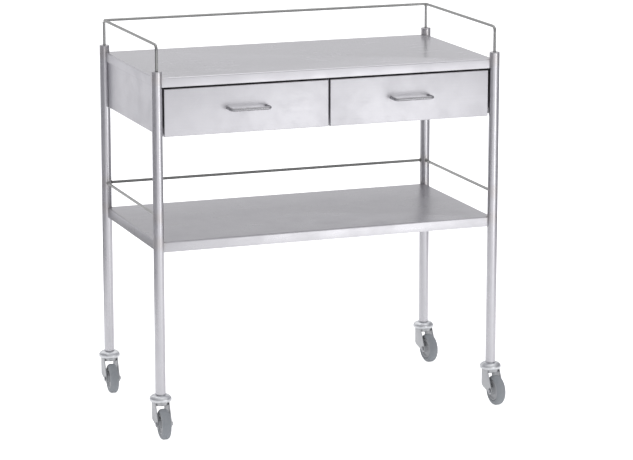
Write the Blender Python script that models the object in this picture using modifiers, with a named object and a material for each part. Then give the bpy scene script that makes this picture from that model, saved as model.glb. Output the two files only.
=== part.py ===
"""Instrument cart: two shelves between four tube legs, a bent guard rail, two drawers, four swivel casters.

Metres, +Z up. The cart's front, with the drawers' handles, faces -Y.
The floor is at z = 0, and the origin is on the floor under the middle of the cart's outer box.
"""

import math

import bmesh
import bpy
from mathutils import Matrix, Vector

# ---------------------------------------------------------------- driving dimensions

# Legs
LENGTH_OVER_LEGS = 0.9000
DEPTH_OVER_LEGS = 0.4700
LEG_DIAMETER = 0.0254
LEG_WALL = 0.0012
LEG_ABOVE_SHELF = 0.0170  # from the top shelf's surface to the top of the leg's cap

# Shelves
TOP_SHELF_Z = 0.8805
TOP_LIP = 0.0232
LOWER_SHELF_Z = 0.4811
LOWER_LIP = 0.0252
SHELF_SHEET = 0.0012
SHELF_BEND = 0.0030  # outer radius of the bend between a shelf and its lip

# Guard rails
ROD_DIAMETER = 0.0072
TOP_RAIL_HEIGHT = 0.0800  # rod's centre above the top shelf
LOWER_RAIL_HEIGHT = 0.0638  # rod's centre above the lower shelf
RAIL_FRONT_BEND = 0.0120  # centre-line radius where the rail turns down into a front leg
RAIL_CORNER_BEND = 0.0070  # centre-line radius at the back corners
CAP_THICKNESS = 0.0015
CAP_SPIGOT = 0.0120  # how far a leg's cap reaches down inside the tube
ROD_IN_CAP = 0.0080

# Drawer case
CASE_SHEET = 0.0012
CASE_INSET = 0.0050  # a panel's outer face, inwards from the plane of the legs' axes
CASE_BOTTOM_ABOVE_FRONTS = 0.0025
CASE_FLANGE = 0.0120

# Drawers
FRONT_HEIGHT = 0.1148
FRONT_UNDER_LIP = 0.0045
FRONT_GAP = 0.0045  # between the two fronts, and between a front and a leg
FRONT_PROUD = 0.0025  # a front's face, ahead of the plane of the front legs' axes
FRONT_DEPTH = 0.0180
FRONT_SHEET = 0.0010
FRONT_ROUNDING = 0.0015
TRAY_HEIGHT = 0.0840
TRAY_ABOVE_FRONT_BOTTOM = 0.0050
TRAY_SHEET = 0.0010
TRAY_BACK_CLEARANCE = 0.0120
DRAWER_TRAVEL = 0.3000

# Drawer rails
RAIL_SPACE = 0.0165  # between a tray's side and the case, for a pair of rails
RAIL_HEIGHT = 0.0350
RAIL_SHEET = 0.0012
RAIL_PLAY = 0.0006
SLIDING_RAIL_DEPTH = 0.0080
RAIL_MIDDLE_ABOVE_TRAY = 0.0300
RAIL_END_CLEARANCE = 0.0020

# Handles
HANDLE_ROD = 0.0078
HANDLE_CENTRES = 0.0990
HANDLE_REACH = 0.0360  # from a front's face to the outside of the handle's bar
HANDLE_BEND = 0.0095
HANDLE_BELOW_FRONT_TOP = 0.0538
HANDLE_SCREW = 0.0040
HANDLE_SCREW_GRIP = 0.0100  # length of screw inside the handle's end
HANDLE_SCREW_HEAD = 0.0075
HANDLE_SCREW_HEAD_HEIGHT = 0.0026
HANDLE_SCREW_HEAD_FLAT = 0.0052  # across the flat end of the rounded head

# Casters
CASTER_ABOVE_WHEEL = 0.0300  # from the top of the wheel to the leg's lower end
CASTER_TRAIL = 0.0320
WHEEL_DIAMETER = 0.0750
WHEEL_WIDTH = 0.0220
TYRE_THICKNESS = 0.0120
TYRE_ROUNDING = 0.0080
HUB_WEB = 0.0150
HUB_BOSS = 0.0190
HEAD_DIAMETER = 0.0540
HEAD_COLLAR = 0.0020
HEAD_DOME = 0.0095  # from the collar down to the dome's widest place
HEAD_RIM = 0.0045
HEAD_RIM_ROUNDING = 0.0020
STEM_LENGTH = 0.0450
KING_PIN = 0.0100
RIVET_HEAD = 0.0160  # the king pin's lower end, spread under the fork's crown
RIVET_FLAT = 0.0120
RIVET_HEIGHT = 0.0026
FORK_SHEET = 0.0022
FORK_DIAMETER = 0.0435  # of the cup under the head
FORK_WRAP = 8  # degrees that the cup's curve carries on, ahead of the swivel's axis
FORK_WIDTH_AT_AXLE = 0.0360
FORK_NARROWS_OVER = 0.0200  # distance ahead of the swivel's axis over which the plates close in
FORK_BACK = 0.0150  # from the swivel's axis back to the plates' edge
FORK_CROWN_FRONT = 0.0180
FORK_HEEL = 0.0110  # the plates' lower back corner, above the axle
FORK_CROWN_LIP = 0.0015  # how far the crown's edge turns down, in front and behind
FORK_SLOT = 0.0252  # the opening between the plates' curved edges, in front and behind
FORK_BOSS = 0.0095  # radius of a plate's end round the axle
AXLE_DIAMETER = 0.0080
AXLE_HEAD = 0.0120
AXLE_HEAD_FLAT = 0.0090
AXLE_HEAD_HEIGHT = 0.0028

# Clearances
FIT = 0.0003  # between pieces that touch or nest
RUNNING = 0.0005  # between pieces that turn or slide in one another

# How finely round shapes are cut
LEG_SIDES = 24
CASTER_SIDES = 20
TYRE_SIDES = 28
SMALL_SIDES = 12
BEND_STEPS = 6
ROD_RESOLUTION = 3

# ---------------------------------------------------------------- places that follow from them

LEG_RADIUS = LEG_DIAMETER / 2
LEG_X = (LENGTH_OVER_LEGS - LEG_DIAMETER) / 2
LEG_Y = (DEPTH_OVER_LEGS - LEG_DIAMETER) / 2
LEG_TOP_Z = TOP_SHELF_Z + LEG_ABOVE_SHELF
TUBE_TOP_Z = LEG_TOP_Z - CAP_THICKNESS - FIT
TUBE_BORE_RADIUS = LEG_RADIUS - LEG_WALL
TOP_RAIL_Z = TOP_SHELF_Z + TOP_RAIL_HEIGHT
LOWER_RAIL_Z = LOWER_SHELF_Z + LOWER_RAIL_HEIGHT

FRONT_TOP_Z = TOP_SHELF_Z - TOP_LIP - FRONT_UNDER_LIP
FRONT_BOTTOM_Z = FRONT_TOP_Z - FRONT_HEIGHT
FRONT_FACE_Y = -LEG_Y - FRONT_PROUD
FRONT_BACK_Y = FRONT_FACE_Y + FRONT_DEPTH
FRONT_INNER_X = FRONT_GAP / 2
FRONT_OUTER_X = LEG_X - LEG_RADIUS - FRONT_GAP
FRONT_WIDTH = FRONT_OUTER_X - FRONT_INNER_X
FRONT_X = (FRONT_OUTER_X + FRONT_INNER_X) / 2

CASE_BOTTOM_Z = FRONT_BOTTOM_Z + CASE_BOTTOM_ABOVE_FRONTS
CASE_TOP_Z = TOP_SHELF_Z - SHELF_SHEET - FIT
CASE_INNER_OFFSET = CASE_INSET + CASE_SHEET  # a panel's inner face, inwards from the legs' plane
CASE_INNER_X = LEG_X - CASE_INNER_OFFSET
CASE_INNER_Y = LEG_Y - CASE_INNER_OFFSET
# A panel's end, along the panel from the leg's axis, where its outer face meets the leg
PANEL_END_OFFSET = math.sqrt(LEG_RADIUS**2 - CASE_INSET**2) + FIT
FLANGE_END_OFFSET = max(LEG_RADIUS, CASE_INNER_OFFSET + CASE_FLANGE) + RAIL_END_CLEARANCE

DIVIDER_FACE_X = CASE_SHEET / 2
RAIL_START_Y = FRONT_BACK_Y + RAIL_END_CLEARANCE
RAIL_END_Y = CASE_INNER_Y - CASE_FLANGE - RAIL_END_CLEARANCE

TRAY_INNER_X = DIVIDER_FACE_X + RAIL_SPACE
TRAY_OUTER_X = CASE_INNER_X - RAIL_SPACE
TRAY_WIDTH = TRAY_OUTER_X - TRAY_INNER_X
TRAY_X = (TRAY_OUTER_X + TRAY_INNER_X) / 2
TRAY_FRONT_Y = FRONT_BACK_Y + FIT
TRAY_BACK_Y = CASE_INNER_Y - CASE_FLANGE - TRAY_BACK_CLEARANCE
TRAY_BOTTOM_Z = FRONT_BOTTOM_Z + TRAY_ABOVE_FRONT_BOTTOM
RAIL_Z = TRAY_BOTTOM_Z + RAIL_MIDDLE_ABOVE_TRAY

HANDLE_Z = FRONT_TOP_Z - HANDLE_BELOW_FRONT_TOP

WHEEL_RADIUS = WHEEL_DIAMETER / 2
CASTER_HEIGHT = WHEEL_DIAMETER + CASTER_ABOVE_WHEEL
HEAD_RADIUS = HEAD_DIAMETER / 2
HEAD_RIM_Z = CASTER_HEIGHT - FIT - HEAD_COLLAR - HEAD_DOME
HEAD_BOTTOM_Z = HEAD_RIM_Z - HEAD_RIM
CROWN_TOP_Z = HEAD_BOTTOM_Z - FIT
CROWN_BOTTOM_Z = CROWN_TOP_Z - FORK_SHEET
FORK_SLOT_TOP_Z = CROWN_BOTTOM_Z - FORK_CROWN_LIP

# The wheels trail forwards, so the outer box's middle is ahead of the middle between the legs.
LEGS_CENTRE_Y = (CASTER_TRAIL + WHEEL_RADIUS - HEAD_RADIUS) / 2

SIDES = {"left": -1, "right": 1}
CORNERS = {
    "front_left": (-LEG_X, -LEG_Y),
    "front_right": (LEG_X, -LEG_Y),
    "back_left": (-LEG_X, LEG_Y),
    "back_right": (LEG_X, LEG_Y),
}
# How far each caster stands turned at rest, in degrees, from trailing straight towards the front.
REST_TURN = {"front_left": -3.0, "front_right": 4.0, "back_left": -4.0, "back_right": 5.5}

# ---------------------------------------------------------------- scene and small helpers

for old in list(bpy.data.objects):
    bpy.data.objects.remove(old, do_unlink=True)

parts = bpy.data.collections.new("instrument_cart")
cutters = bpy.data.collections.new("cutters")
bpy.context.scene.collection.children.link(parts)
bpy.context.scene.collection.children.link(cutters)


def finish(name, color, roughness, metallic):
    """A Principled material."""
    material = bpy.data.materials.new(name)
    material.use_nodes = True
    shader = material.node_tree.nodes["Principled BSDF"]
    shader.inputs["Base Color"].default_value = (*color, 1.0)
    shader.inputs["Roughness"].default_value = roughness
    shader.inputs["Metallic"].default_value = metallic
    return material


BRUSHED_SHEET = finish("brushed_sheet", (0.62, 0.62, 0.64), 0.38, 1.0)
POLISHED_TUBE = finish("polished_tube", (0.60, 0.60, 0.62), 0.28, 1.0)
POLISHED_ROD = finish("polished_rod", (0.55, 0.55, 0.57), 0.25, 1.0)
INNER_SHEET = finish("inner_sheet", (0.50, 0.50, 0.51), 0.45, 1.0)
RAIL_STEEL = finish("rail_steel", (0.52, 0.53, 0.54), 0.40, 1.0)
PLATED_STEEL = finish("plated_steel", (0.68, 0.69, 0.71), 0.22, 1.0)
FASTENER_STEEL = finish("fastener_steel", (0.45, 0.45, 0.46), 0.35, 1.0)
HUB_PLASTIC = finish("hub_plastic", (0.36, 0.37, 0.39), 0.50, 0.0)
GREY_RUBBER = finish("grey_rubber", (0.17, 0.18, 0.20), 0.62, 0.0)


def empty(name, location, parent=None, turn=0.0):
    """An empty that carries other objects, turned about +Z; a joint's axis passes through it."""
    holder = bpy.data.objects.new(name, None)
    holder.location = location
    holder.rotation_euler = (0, 0, turn)
    holder.parent = parent
    holder.empty_display_size = 0.03
    parts.objects.link(holder)
    return holder


def place(name, data, material, parent, location=(0, 0, 0), rotation=(0, 0, 0)):
    """Links a mesh or a curve as one named part."""
    part = bpy.data.objects.new(name, data)
    data.materials.append(material)
    part.location = location
    part.rotation_euler = rotation
    part.parent = parent
    parts.objects.link(part)
    return part


def smooth(part, angle=30):
    """Shades a round piece smooth, with its real edges left sharp."""
    part.data.shade_smooth()
    part.data.set_sharp_from_angle(angle=math.radians(angle))


def mesh_from(name, shape):
    """Writes a bmesh to a new mesh, with its faces pointing out, and frees it."""
    bmesh.ops.recalc_face_normals(shape, faces=shape.faces)
    mesh = bpy.data.meshes.new(name)
    shape.to_mesh(mesh)
    shape.free()
    return mesh


def block(width, depth, height):
    """A bmesh box about the origin."""
    shape = bmesh.new()
    bmesh.ops.create_cube(shape, size=1.0, matrix=Matrix.Diagonal((width, depth, height, 1)))
    return shape


def cutter(name, data, parent, location=(0, 0, 0), rotation=(0, 0, 0)):
    """A hidden shape that others are cut by."""
    tool = bpy.data.objects.new(name, data)
    tool.location = location
    tool.rotation_euler = rotation
    tool.parent = parent
    tool.hide_render = True
    tool.display_type = "WIRE"
    cutters.objects.link(tool)
    return tool


def cylinder_cutter(name, radius, length, sides, parent, location, rotation=(0, 0, 0)):
    """A cylinder along its own Z, about its middle."""
    shape = bmesh.new()
    bmesh.ops.create_cone(
        shape, cap_ends=True, segments=sides, radius1=radius, radius2=radius, depth=length
    )
    return cutter(name, mesh_from(name, shape), parent, location, rotation)


def combine(part, tool, operation="DIFFERENCE"):
    """Cuts the tool out of the part, or joins it to the part."""
    modifier = part.modifiers.new(tool.name, "BOOLEAN")
    modifier.operation = operation
    modifier.object = tool


def solidify(part, thickness):
    """Gives an open surface its sheet's thickness, on the side away from its normals."""
    modifier = part.modifiers.new("sheet", "SOLIDIFY")
    modifier.thickness = thickness
    modifier.offset = -1
    modifier.use_even_offset = True
    modifier.use_quality_normals = True


def turned(name, profile, sides, material, parent, location=(0, 0, 0), rotation=(0, 0, 0)):
    """Turns a profile of (radius, height) points, outer side downwards, about its own Z."""
    shape = bmesh.new()
    points = [shape.verts.new((radius, 0, height)) for radius, height in profile]
    for first, second in zip(points, points[1:]):
        shape.edges.new((first, second))
    if profile[0][0] > 0:
        shape.edges.new((points[-1], points[0]))
    mesh = bpy.data.meshes.new(name)
    shape.to_mesh(mesh)
    shape.free()
    part = place(name, mesh, material, parent, location, rotation)
    screw = part.modifiers.new("turn", "SCREW")
    screw.steps = screw.render_steps = sides
    screw.use_merge_vertices = True
    screw.merge_threshold = 0.00001
    screw.use_smooth_shade = True
    return part


def arc(centre, radius, start, end, steps):
    """Points on an arc in a plane, angles in degrees."""
    points = []
    for step in range(steps + 1):
        angle = math.radians(start + (end - start) * step / steps)
        points.append((centre[0] + radius * math.cos(angle), centre[1] + radius * math.sin(angle)))
    return points


def bent_path(corners, radii):
    """The corners' polyline with each inner corner rounded to its radius."""
    corners = [Vector(corner) for corner in corners]
    points = [corners[0]]
    for before, corner, after, radius in zip(corners, corners[1:], corners[2:], radii):
        back = (before - corner).normalized()
        ahead = (after - corner).normalized()
        half = back.angle(ahead) / 2
        centre = corner + (back + ahead).normalized() * radius / math.sin(half)
        first = corner + back * radius / math.tan(half) - centre
        turn = math.pi - 2 * half
        axis = back.cross(ahead) * -1
        for step in range(BEND_STEPS + 1):
            points.append(centre + Matrix.Rotation(turn * step / BEND_STEPS, 3, axis) @ first)
    points.append(corners[-1])
    return points


def rod(name, points, diameter, material, parent, location=(0, 0, 0)):
    """A round rod along a polyline, with flat ends."""
    curve = bpy.data.curves.new(name, "CURVE")
    curve.dimensions = "3D"
    curve.bevel_depth = diameter / 2
    curve.bevel_resolution = ROD_RESOLUTION
    curve.use_fill_caps = True
    spline = curve.splines.new("POLY")
    spline.points.add(len(points) - 1)
    for point, place_on_path in zip(spline.points, points):
        point.co = (*place_on_path, 1)
    return place(name, curve, material, parent, location)


def as_mesh(part):
    """Turns a curve object into a mesh object of the same name and place, with its caps welded on."""
    bpy.context.view_layer.update()
    graph = bpy.context.evaluated_depsgraph_get()
    mesh = bpy.data.meshes.new_from_object(part.evaluated_get(graph))
    shape = bmesh.new()
    shape.from_mesh(mesh)
    bmesh.ops.remove_doubles(shape, verts=shape.verts, dist=0.00001)
    bmesh.ops.recalc_face_normals(shape, faces=shape.faces)
    shape.to_mesh(mesh)
    shape.free()
    name, world, parent = part.name, part.matrix_world.copy(), part.parent
    bpy.data.objects.remove(part, do_unlink=True)
    solid = bpy.data.objects.new(name, mesh)
    solid.parent = parent
    parts.objects.link(solid)
    solid.matrix_world = world
    return solid


def flat_plate(name, outline, thickness, material, parent, location, rotation=(0, 0, 0)):
    """A closed outline in its own XY plane, given a thickness about that plane."""
    curve = bpy.data.curves.new(name, "CURVE")
    curve.dimensions = "2D"
    curve.fill_mode = "BOTH"
    curve.extrude = thickness / 2
    spline = curve.splines.new("POLY")
    spline.points.add(len(outline) - 1)
    for point, (x, y) in zip(spline.points, outline):
        point.co = (x, y, 0, 1)
    spline.use_cyclic_u = True
    return as_mesh(place(name, curve, material, parent, location, rotation))


def use_as_cutter(tool):
    """Moves a part among the hidden shapes that others are cut by."""
    parts.objects.unlink(tool)
    cutters.objects.link(tool)
    tool.hide_render = True
    tool.display_type = "WIRE"


def channel(name, height, depth, length, material, parent, location, turned_round):
    """A rail of C section along Y, its web at x = 0 and its flanges towards +X, or -X if turned round."""
    shape = bmesh.new()
    section = [(depth, -height / 2), (0, -height / 2), (0, height / 2), (depth, height / 2)]
    rows = [
        [shape.verts.new((x, y, z)) for x, z in section] for y in (-length / 2, length / 2)
    ]
    for corner in range(len(section) - 1):
        shape.faces.new(
            (rows[0][corner], rows[0][corner + 1], rows[1][corner + 1], rows[1][corner])
        )
    mesh = bpy.data.meshes.new(name)
    shape.to_mesh(mesh)
    shape.free()
    rotation = (0, 0, math.pi if turned_round else 0)
    part = place(name, mesh, material, parent, location, rotation)
    solidify(part, RAIL_SHEET)
    return part


def folded_panel(name, plate, flange, height, flanged, parent, location, facing):
    """An upright sheet along its own X from plate[0] to plate[1], its outer face towards -Y.

    The top edge, and the bottom edge if it is flanged, is folded inwards between flange[0] and flange[1].
    """
    shape = bmesh.new()
    folds = {}
    outline = []
    for edge_z, is_flanged in ((0, flanged), (height, True)):
        ends = [shape.verts.new((x, 0, edge_z)) for x in plate]
        fold = [shape.verts.new((x, 0, edge_z)) for x in flange] if is_flanged else []
        folds[edge_z] = fold
        row = [ends[0], *fold, ends[1]]
        outline += row if edge_z == 0 else row[::-1]
    shape.faces.new(outline)
    for edge_z, fold in folds.items():
        if fold:
            tips = [shape.verts.new((x, CASE_FLANGE, edge_z)) for x in flange]
            face = (fold[0], fold[1], tips[1], tips[0])
            shape.faces.new(face if edge_z else face[::-1])
    mesh = bpy.data.meshes.new(name)
    shape.to_mesh(mesh)
    shape.free()
    part = place(name, mesh, INNER_SHEET, parent, location, (0, 0, math.radians(facing)))
    solidify(part, CASE_SHEET)
    return part


# ---------------------------------------------------------------- frame: legs, shelves, guard rails

cart = empty("cart", (0, LEGS_CENTRE_Y, 0))


def build_legs():
    bore = TUBE_BORE_RADIUS
    for corner, (x, y) in CORNERS.items():
        tube = [
            (bore, TUBE_TOP_Z),
            (LEG_RADIUS, TUBE_TOP_Z),
            (LEG_RADIUS, CASTER_HEIGHT),
            (bore, CASTER_HEIGHT),
        ]
        turned(f"leg_{corner}", tube, LEG_SIDES, POLISHED_TUBE, cart, (x, y, 0))
        hole = ROD_DIAMETER / 2 + FIT
        spigot = bore - FIT
        cap = [
            (hole, LEG_TOP_Z),
            (LEG_RADIUS, LEG_TOP_Z),
            (LEG_RADIUS, TUBE_TOP_Z + FIT),
            (spigot, TUBE_TOP_Z + FIT),
            (spigot, TUBE_TOP_Z - CAP_SPIGOT),
            (hole, TUBE_TOP_Z - CAP_SPIGOT),
        ]
        turned(f"leg_cap_{corner}", cap, LEG_SIDES, POLISHED_TUBE, cart, (x, y, 0))


def leg_clearance_cutters():
    """Cylinders round the legs, which the shelves' corners are cut by."""
    height = LEG_TOP_Z - LOWER_SHELF_Z + 4 * LOWER_LIP
    middle = (LEG_TOP_Z + LOWER_SHELF_Z) / 2
    return [
        cylinder_cutter(
            f"leg_clearance_{corner}", LEG_RADIUS + FIT, height, LEG_SIDES, cart, (x, y, middle)
        )
        for corner, (x, y) in CORNERS.items()
    ]


def build_shelf(name, surface_z, lip, leg_cutters):
    """A sheet with a turned-down lip on each side, its lips in the planes of the legs' axes."""
    shape = block(2 * LEG_X, 2 * LEG_Y, lip)
    underside = min(shape.faces, key=lambda face: face.calc_center_median().z)
    bmesh.ops.delete(shape, geom=[underside], context="FACES_ONLY")
    top_edges = [edge for edge in shape.edges if all(v.co.z > 0 for v in edge.verts)]
    bmesh.ops.bevel(
        shape, geom=top_edges, offset=SHELF_BEND, segments=3, profile=0.5, affect="EDGES"
    )
    mesh = mesh_from(name, shape)
    shelf = place(name, mesh, BRUSHED_SHEET, cart, (0, 0, surface_z - lip / 2))
    solidify(shelf, SHELF_SHEET)
    for tool in leg_cutters:
        combine(shelf, tool)
    smooth(shelf)


def build_guard_rails():
    rod_end_z = LEG_TOP_Z - ROD_IN_CAP
    corners = [
        (-LEG_X, -LEG_Y, rod_end_z),
        (-LEG_X, -LEG_Y, TOP_RAIL_Z),
        (-LEG_X, LEG_Y, TOP_RAIL_Z),
        (LEG_X, LEG_Y, TOP_RAIL_Z),
        (LEG_X, -LEG_Y, TOP_RAIL_Z),
        (LEG_X, -LEG_Y, rod_end_z),
    ]
    bends = [RAIL_FRONT_BEND, RAIL_CORNER_BEND, RAIL_CORNER_BEND, RAIL_FRONT_BEND]
    rod("top_rail", bent_path(corners, bends), ROD_DIAMETER, POLISHED_ROD, cart)

    post_top = TOP_RAIL_Z - ROD_DIAMETER / 2 - FIT
    for side, sign in SIDES.items():
        post = [(sign * LEG_X, LEG_Y, rod_end_z), (sign * LEG_X, LEG_Y, post_top)]
        rod(f"rail_post_{side}", post, ROD_DIAMETER, POLISHED_ROD, cart)

    # The lower rails are welded to the legs' sides.
    reach_x = LEG_X - LEG_RADIUS - FIT
    reach_y = LEG_Y - LEG_RADIUS - FIT
    for side, sign in SIDES.items():
        run = [(sign * LEG_X, -reach_y, LOWER_RAIL_Z), (sign * LEG_X, reach_y, LOWER_RAIL_Z)]
        rod(f"lower_rail_{side}", run, ROD_DIAMETER, POLISHED_ROD, cart)
    run = [(-reach_x, LEG_Y, LOWER_RAIL_Z), (reach_x, LEG_Y, LOWER_RAIL_Z)]
    rod("lower_rail_back", run, ROD_DIAMETER, POLISHED_ROD, cart)


# ---------------------------------------------------------------- drawer case and its fixed rails


def build_case():
    height = CASE_TOP_Z - CASE_BOTTOM_Z
    side_plate = LEG_Y - PANEL_END_OFFSET
    side_flange = LEG_Y - FLANGE_END_OFFSET
    for side, sign in SIDES.items():
        folded_panel(
            f"case_side_{side}",
            (-side_plate, side_plate),
            (-side_flange, side_flange),
            height,
            True,
            cart,
            (sign * (LEG_X - CASE_INSET), 0, CASE_BOTTOM_Z),
            90 * sign,
        )
    back_plate = LEG_X - PANEL_END_OFFSET
    back_flange = LEG_X - FLANGE_END_OFFSET
    folded_panel(
        "case_back",
        (-back_plate, back_plate),
        (-back_flange, back_flange),
        height,
        True,
        cart,
        (0, LEG_Y - CASE_INSET, CASE_BOTTOM_Z),
        180,
    )
    # The divider hangs from the top shelf behind the gap between the fronts.
    folded_panel(
        "case_divider",
        (-CASE_INNER_Y + CASE_FLANGE + RAIL_END_CLEARANCE, -RAIL_START_Y),
        (-RAIL_END_Y, -RAIL_START_Y),
        height,
        False,
        cart,
        (-DIVIDER_FACE_X, 0, CASE_BOTTOM_Z),
        -90,
    )


def build_fixed_rails():
    """One C rail on each wall of each bay, open towards the drawer."""
    length = RAIL_END_Y - RAIL_START_Y
    middle_y = (RAIL_END_Y + RAIL_START_Y) / 2
    depth = RAIL_SPACE - FIT - RUNNING
    for side, sign in SIDES.items():
        walls = {"outer": sign * (CASE_INNER_X - FIT), "inner": sign * (DIVIDER_FACE_X + FIT)}
        for wall, x in walls.items():
            opens_to_minus_x = (sign > 0) == (wall == "outer")
            channel(
                f"fixed_rail_{side}_{wall}",
                RAIL_HEIGHT,
                depth,
                length,
                RAIL_STEEL,
                cart,
                (x, middle_y, RAIL_Z),
                opens_to_minus_x,
            )


# ---------------------------------------------------------------- drawers


def build_front(side, drawer, screw_places):
    """A sheet folded back on all four sides, open behind."""
    name = f"drawer_front_{side}"
    shape = block(FRONT_WIDTH, FRONT_DEPTH, FRONT_HEIGHT)
    behind = max(shape.faces, key=lambda face: face.calc_center_median().y)
    bmesh.ops.delete(shape, geom=[behind], context="FACES_ONLY")
    face_edges = [edge for edge in shape.edges if all(v.co.y < 0 for v in edge.verts)]
    bmesh.ops.bevel(
        shape, geom=face_edges, offset=FRONT_ROUNDING, segments=2, profile=0.5, affect="EDGES"
    )
    location = (0, FRONT_FACE_Y + FRONT_DEPTH / 2, FRONT_BOTTOM_Z + FRONT_HEIGHT / 2)
    front = place(name, mesh_from(name, shape), BRUSHED_SHEET, drawer, location)
    solidify(front, FRONT_SHEET)
    for number, x in enumerate(screw_places, start=1):
        hole = cylinder_cutter(
            f"screw_hole_{side}_{number}",
            HANDLE_SCREW / 2 + FIT,
            4 * FRONT_SHEET,
            SMALL_SIDES,
            drawer,
            (x, FRONT_FACE_Y, HANDLE_Z),
            (math.pi / 2, 0, 0),
        )
        combine(front, hole)
    smooth(front)


def build_handle(side, drawer, screw_places):
    """A rod bent to a D, its ends tapped for the screws that hold it from behind the front."""
    start_y = FRONT_FACE_Y - FIT
    bar_y = FRONT_FACE_Y - HANDLE_REACH + HANDLE_ROD / 2
    left, right = screw_places
    corners = [
        (left, start_y, HANDLE_Z),
        (left, bar_y, HANDLE_Z),
        (right, bar_y, HANDLE_Z),
        (right, start_y, HANDLE_Z),
    ]
    name = f"drawer_handle_{side}"
    path = bent_path(corners, [HANDLE_BEND, HANDLE_BEND])
    handle = as_mesh(rod(name, path, HANDLE_ROD, POLISHED_ROD, drawer))
    bore_depth = HANDLE_SCREW_GRIP + RUNNING
    for number, x in enumerate(screw_places, start=1):
        bore = cylinder_cutter(
            f"handle_bore_{side}_{number}",
            HANDLE_SCREW / 2 + FIT,
            2 * bore_depth,
            SMALL_SIDES,
            drawer,
            (x, start_y, HANDLE_Z),
            (math.pi / 2, 0, 0),
        )
        combine(handle, bore)
        head_bottom = FRONT_SHEET + FIT
        screw = [
            (0, head_bottom + HANDLE_SCREW_HEAD_HEIGHT),
            (HANDLE_SCREW_HEAD_FLAT / 2, head_bottom + HANDLE_SCREW_HEAD_HEIGHT),
            (HANDLE_SCREW_HEAD / 2, head_bottom + HANDLE_SCREW_HEAD_HEIGHT / 2),
            (HANDLE_SCREW_HEAD / 2, head_bottom),
            (HANDLE_SCREW / 2, head_bottom),
            (HANDLE_SCREW / 2, -HANDLE_SCREW_GRIP),
            (0, -HANDLE_SCREW_GRIP),
        ]
        # The screw's own Z runs from its tip to its head, which is +Y on the cart.
        turned(
            f"handle_screw_{side}_{number}",
            screw,
            SMALL_SIDES,
            FASTENER_STEEL,
            drawer,
            (x, FRONT_FACE_Y, HANDLE_Z),
            (-math.pi / 2, 0, 0),
        )
    smooth(handle)


def build_tray(side, drawer, offset_x):
    """The drawer's open box, behind the front."""
    name = f"drawer_tray_{side}"
    depth = TRAY_BACK_Y - TRAY_FRONT_Y
    shape = block(TRAY_WIDTH, depth, TRAY_HEIGHT)
    top = max(shape.faces, key=lambda face: face.calc_center_median().z)
    bmesh.ops.delete(shape, geom=[top], context="FACES_ONLY")
    middle_y = (TRAY_BACK_Y + TRAY_FRONT_Y) / 2
    location = (offset_x, middle_y, TRAY_BOTTOM_Z + TRAY_HEIGHT / 2)
    tray = place(name, mesh_from(name, shape), INNER_SHEET, drawer, location)
    solidify(tray, TRAY_SHEET)


def build_sliding_rails(side, sign, drawer, offset_x):
    """C rails on the tray's sides, which run inside the fixed ones."""
    height = RAIL_HEIGHT - 2 * RAIL_SHEET - 2 * RAIL_PLAY
    length = TRAY_BACK_Y - TRAY_FRONT_Y
    middle_y = (TRAY_BACK_Y + TRAY_FRONT_Y) / 2
    for wall, direction in (("outer", sign), ("inner", -sign)):
        x = offset_x + direction * (TRAY_WIDTH / 2 + FIT)
        channel(
            f"sliding_rail_{side}_{wall}",
            height,
            SLIDING_RAIL_DEPTH,
            length,
            RAIL_STEEL,
            drawer,
            (x, middle_y, RAIL_Z),
            direction < 0,
        )


def build_drawers():
    for side, sign in SIDES.items():
        drawer = empty(f"drawer_{side}", (sign * FRONT_X, 0, 0), cart)
        screw_places = (-HANDLE_CENTRES / 2, HANDLE_CENTRES / 2)
        tray_offset = sign * (TRAY_X - FRONT_X)
        build_front(side, drawer, screw_places)
        build_handle(side, drawer, screw_places)
        build_tray(side, drawer, tray_offset)
        build_sliding_rails(side, sign, drawer, tray_offset)


# ---------------------------------------------------------------- casters


def build_caster_mount(corner, x, y):
    """The fixed half of a swivel: stem inside the leg, collar, domed head and riveted king pin."""
    stem = TUBE_BORE_RADIUS - FIT
    collar_top = CASTER_HEIGHT - FIT
    dome = [
        (LEG_RADIUS + (HEAD_RADIUS - LEG_RADIUS) * across, HEAD_RIM_Z + HEAD_DOME * up)
        for across, up in arc((0, 0), 1, 90, 0, 4)
    ]
    pin = KING_PIN / 2
    rivet_top = CROWN_BOTTOM_Z - FIT
    chamfer = LEG_WALL
    profile = [
        (0, CASTER_HEIGHT + STEM_LENGTH),
        (stem - chamfer, CASTER_HEIGHT + STEM_LENGTH),
        (stem, CASTER_HEIGHT + STEM_LENGTH - chamfer),
        (stem, collar_top),
        (LEG_RADIUS, collar_top),
        *dome,
        (HEAD_RADIUS, HEAD_BOTTOM_Z + HEAD_RIM_ROUNDING),
        (HEAD_RADIUS - HEAD_RIM_ROUNDING, HEAD_BOTTOM_Z),
        (pin, HEAD_BOTTOM_Z),
        (pin, rivet_top),
        (RIVET_HEAD / 2, rivet_top),
        (RIVET_FLAT / 2, rivet_top - RIVET_HEIGHT),
        (0, rivet_top - RIVET_HEIGHT),
    ]
    turned(f"caster_mount_{corner}", profile, CASTER_SIDES, PLATED_STEEL, cart, (x, y, 0))


def fork_plan(inset):
    """The fork seen from above, (x, y) with the swivel's axis at 0: a cup that narrows towards -Y."""
    radius = FORK_DIAMETER / 2 - inset
    narrow = FORK_WIDTH_AT_AXLE / 2 - inset
    front = -CASTER_TRAIL - 2 * FORK_BOSS - inset
    cup = arc((0, 0), radius, -FORK_WRAP, 180 + FORK_WRAP, 2 * BEND_STEPS)
    left_plate = [(-narrow, -FORK_NARROWS_OVER), (-narrow, front)]
    return [*cup, *left_plate, *((-x, y) for x, y in reversed(left_plate))]


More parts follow.
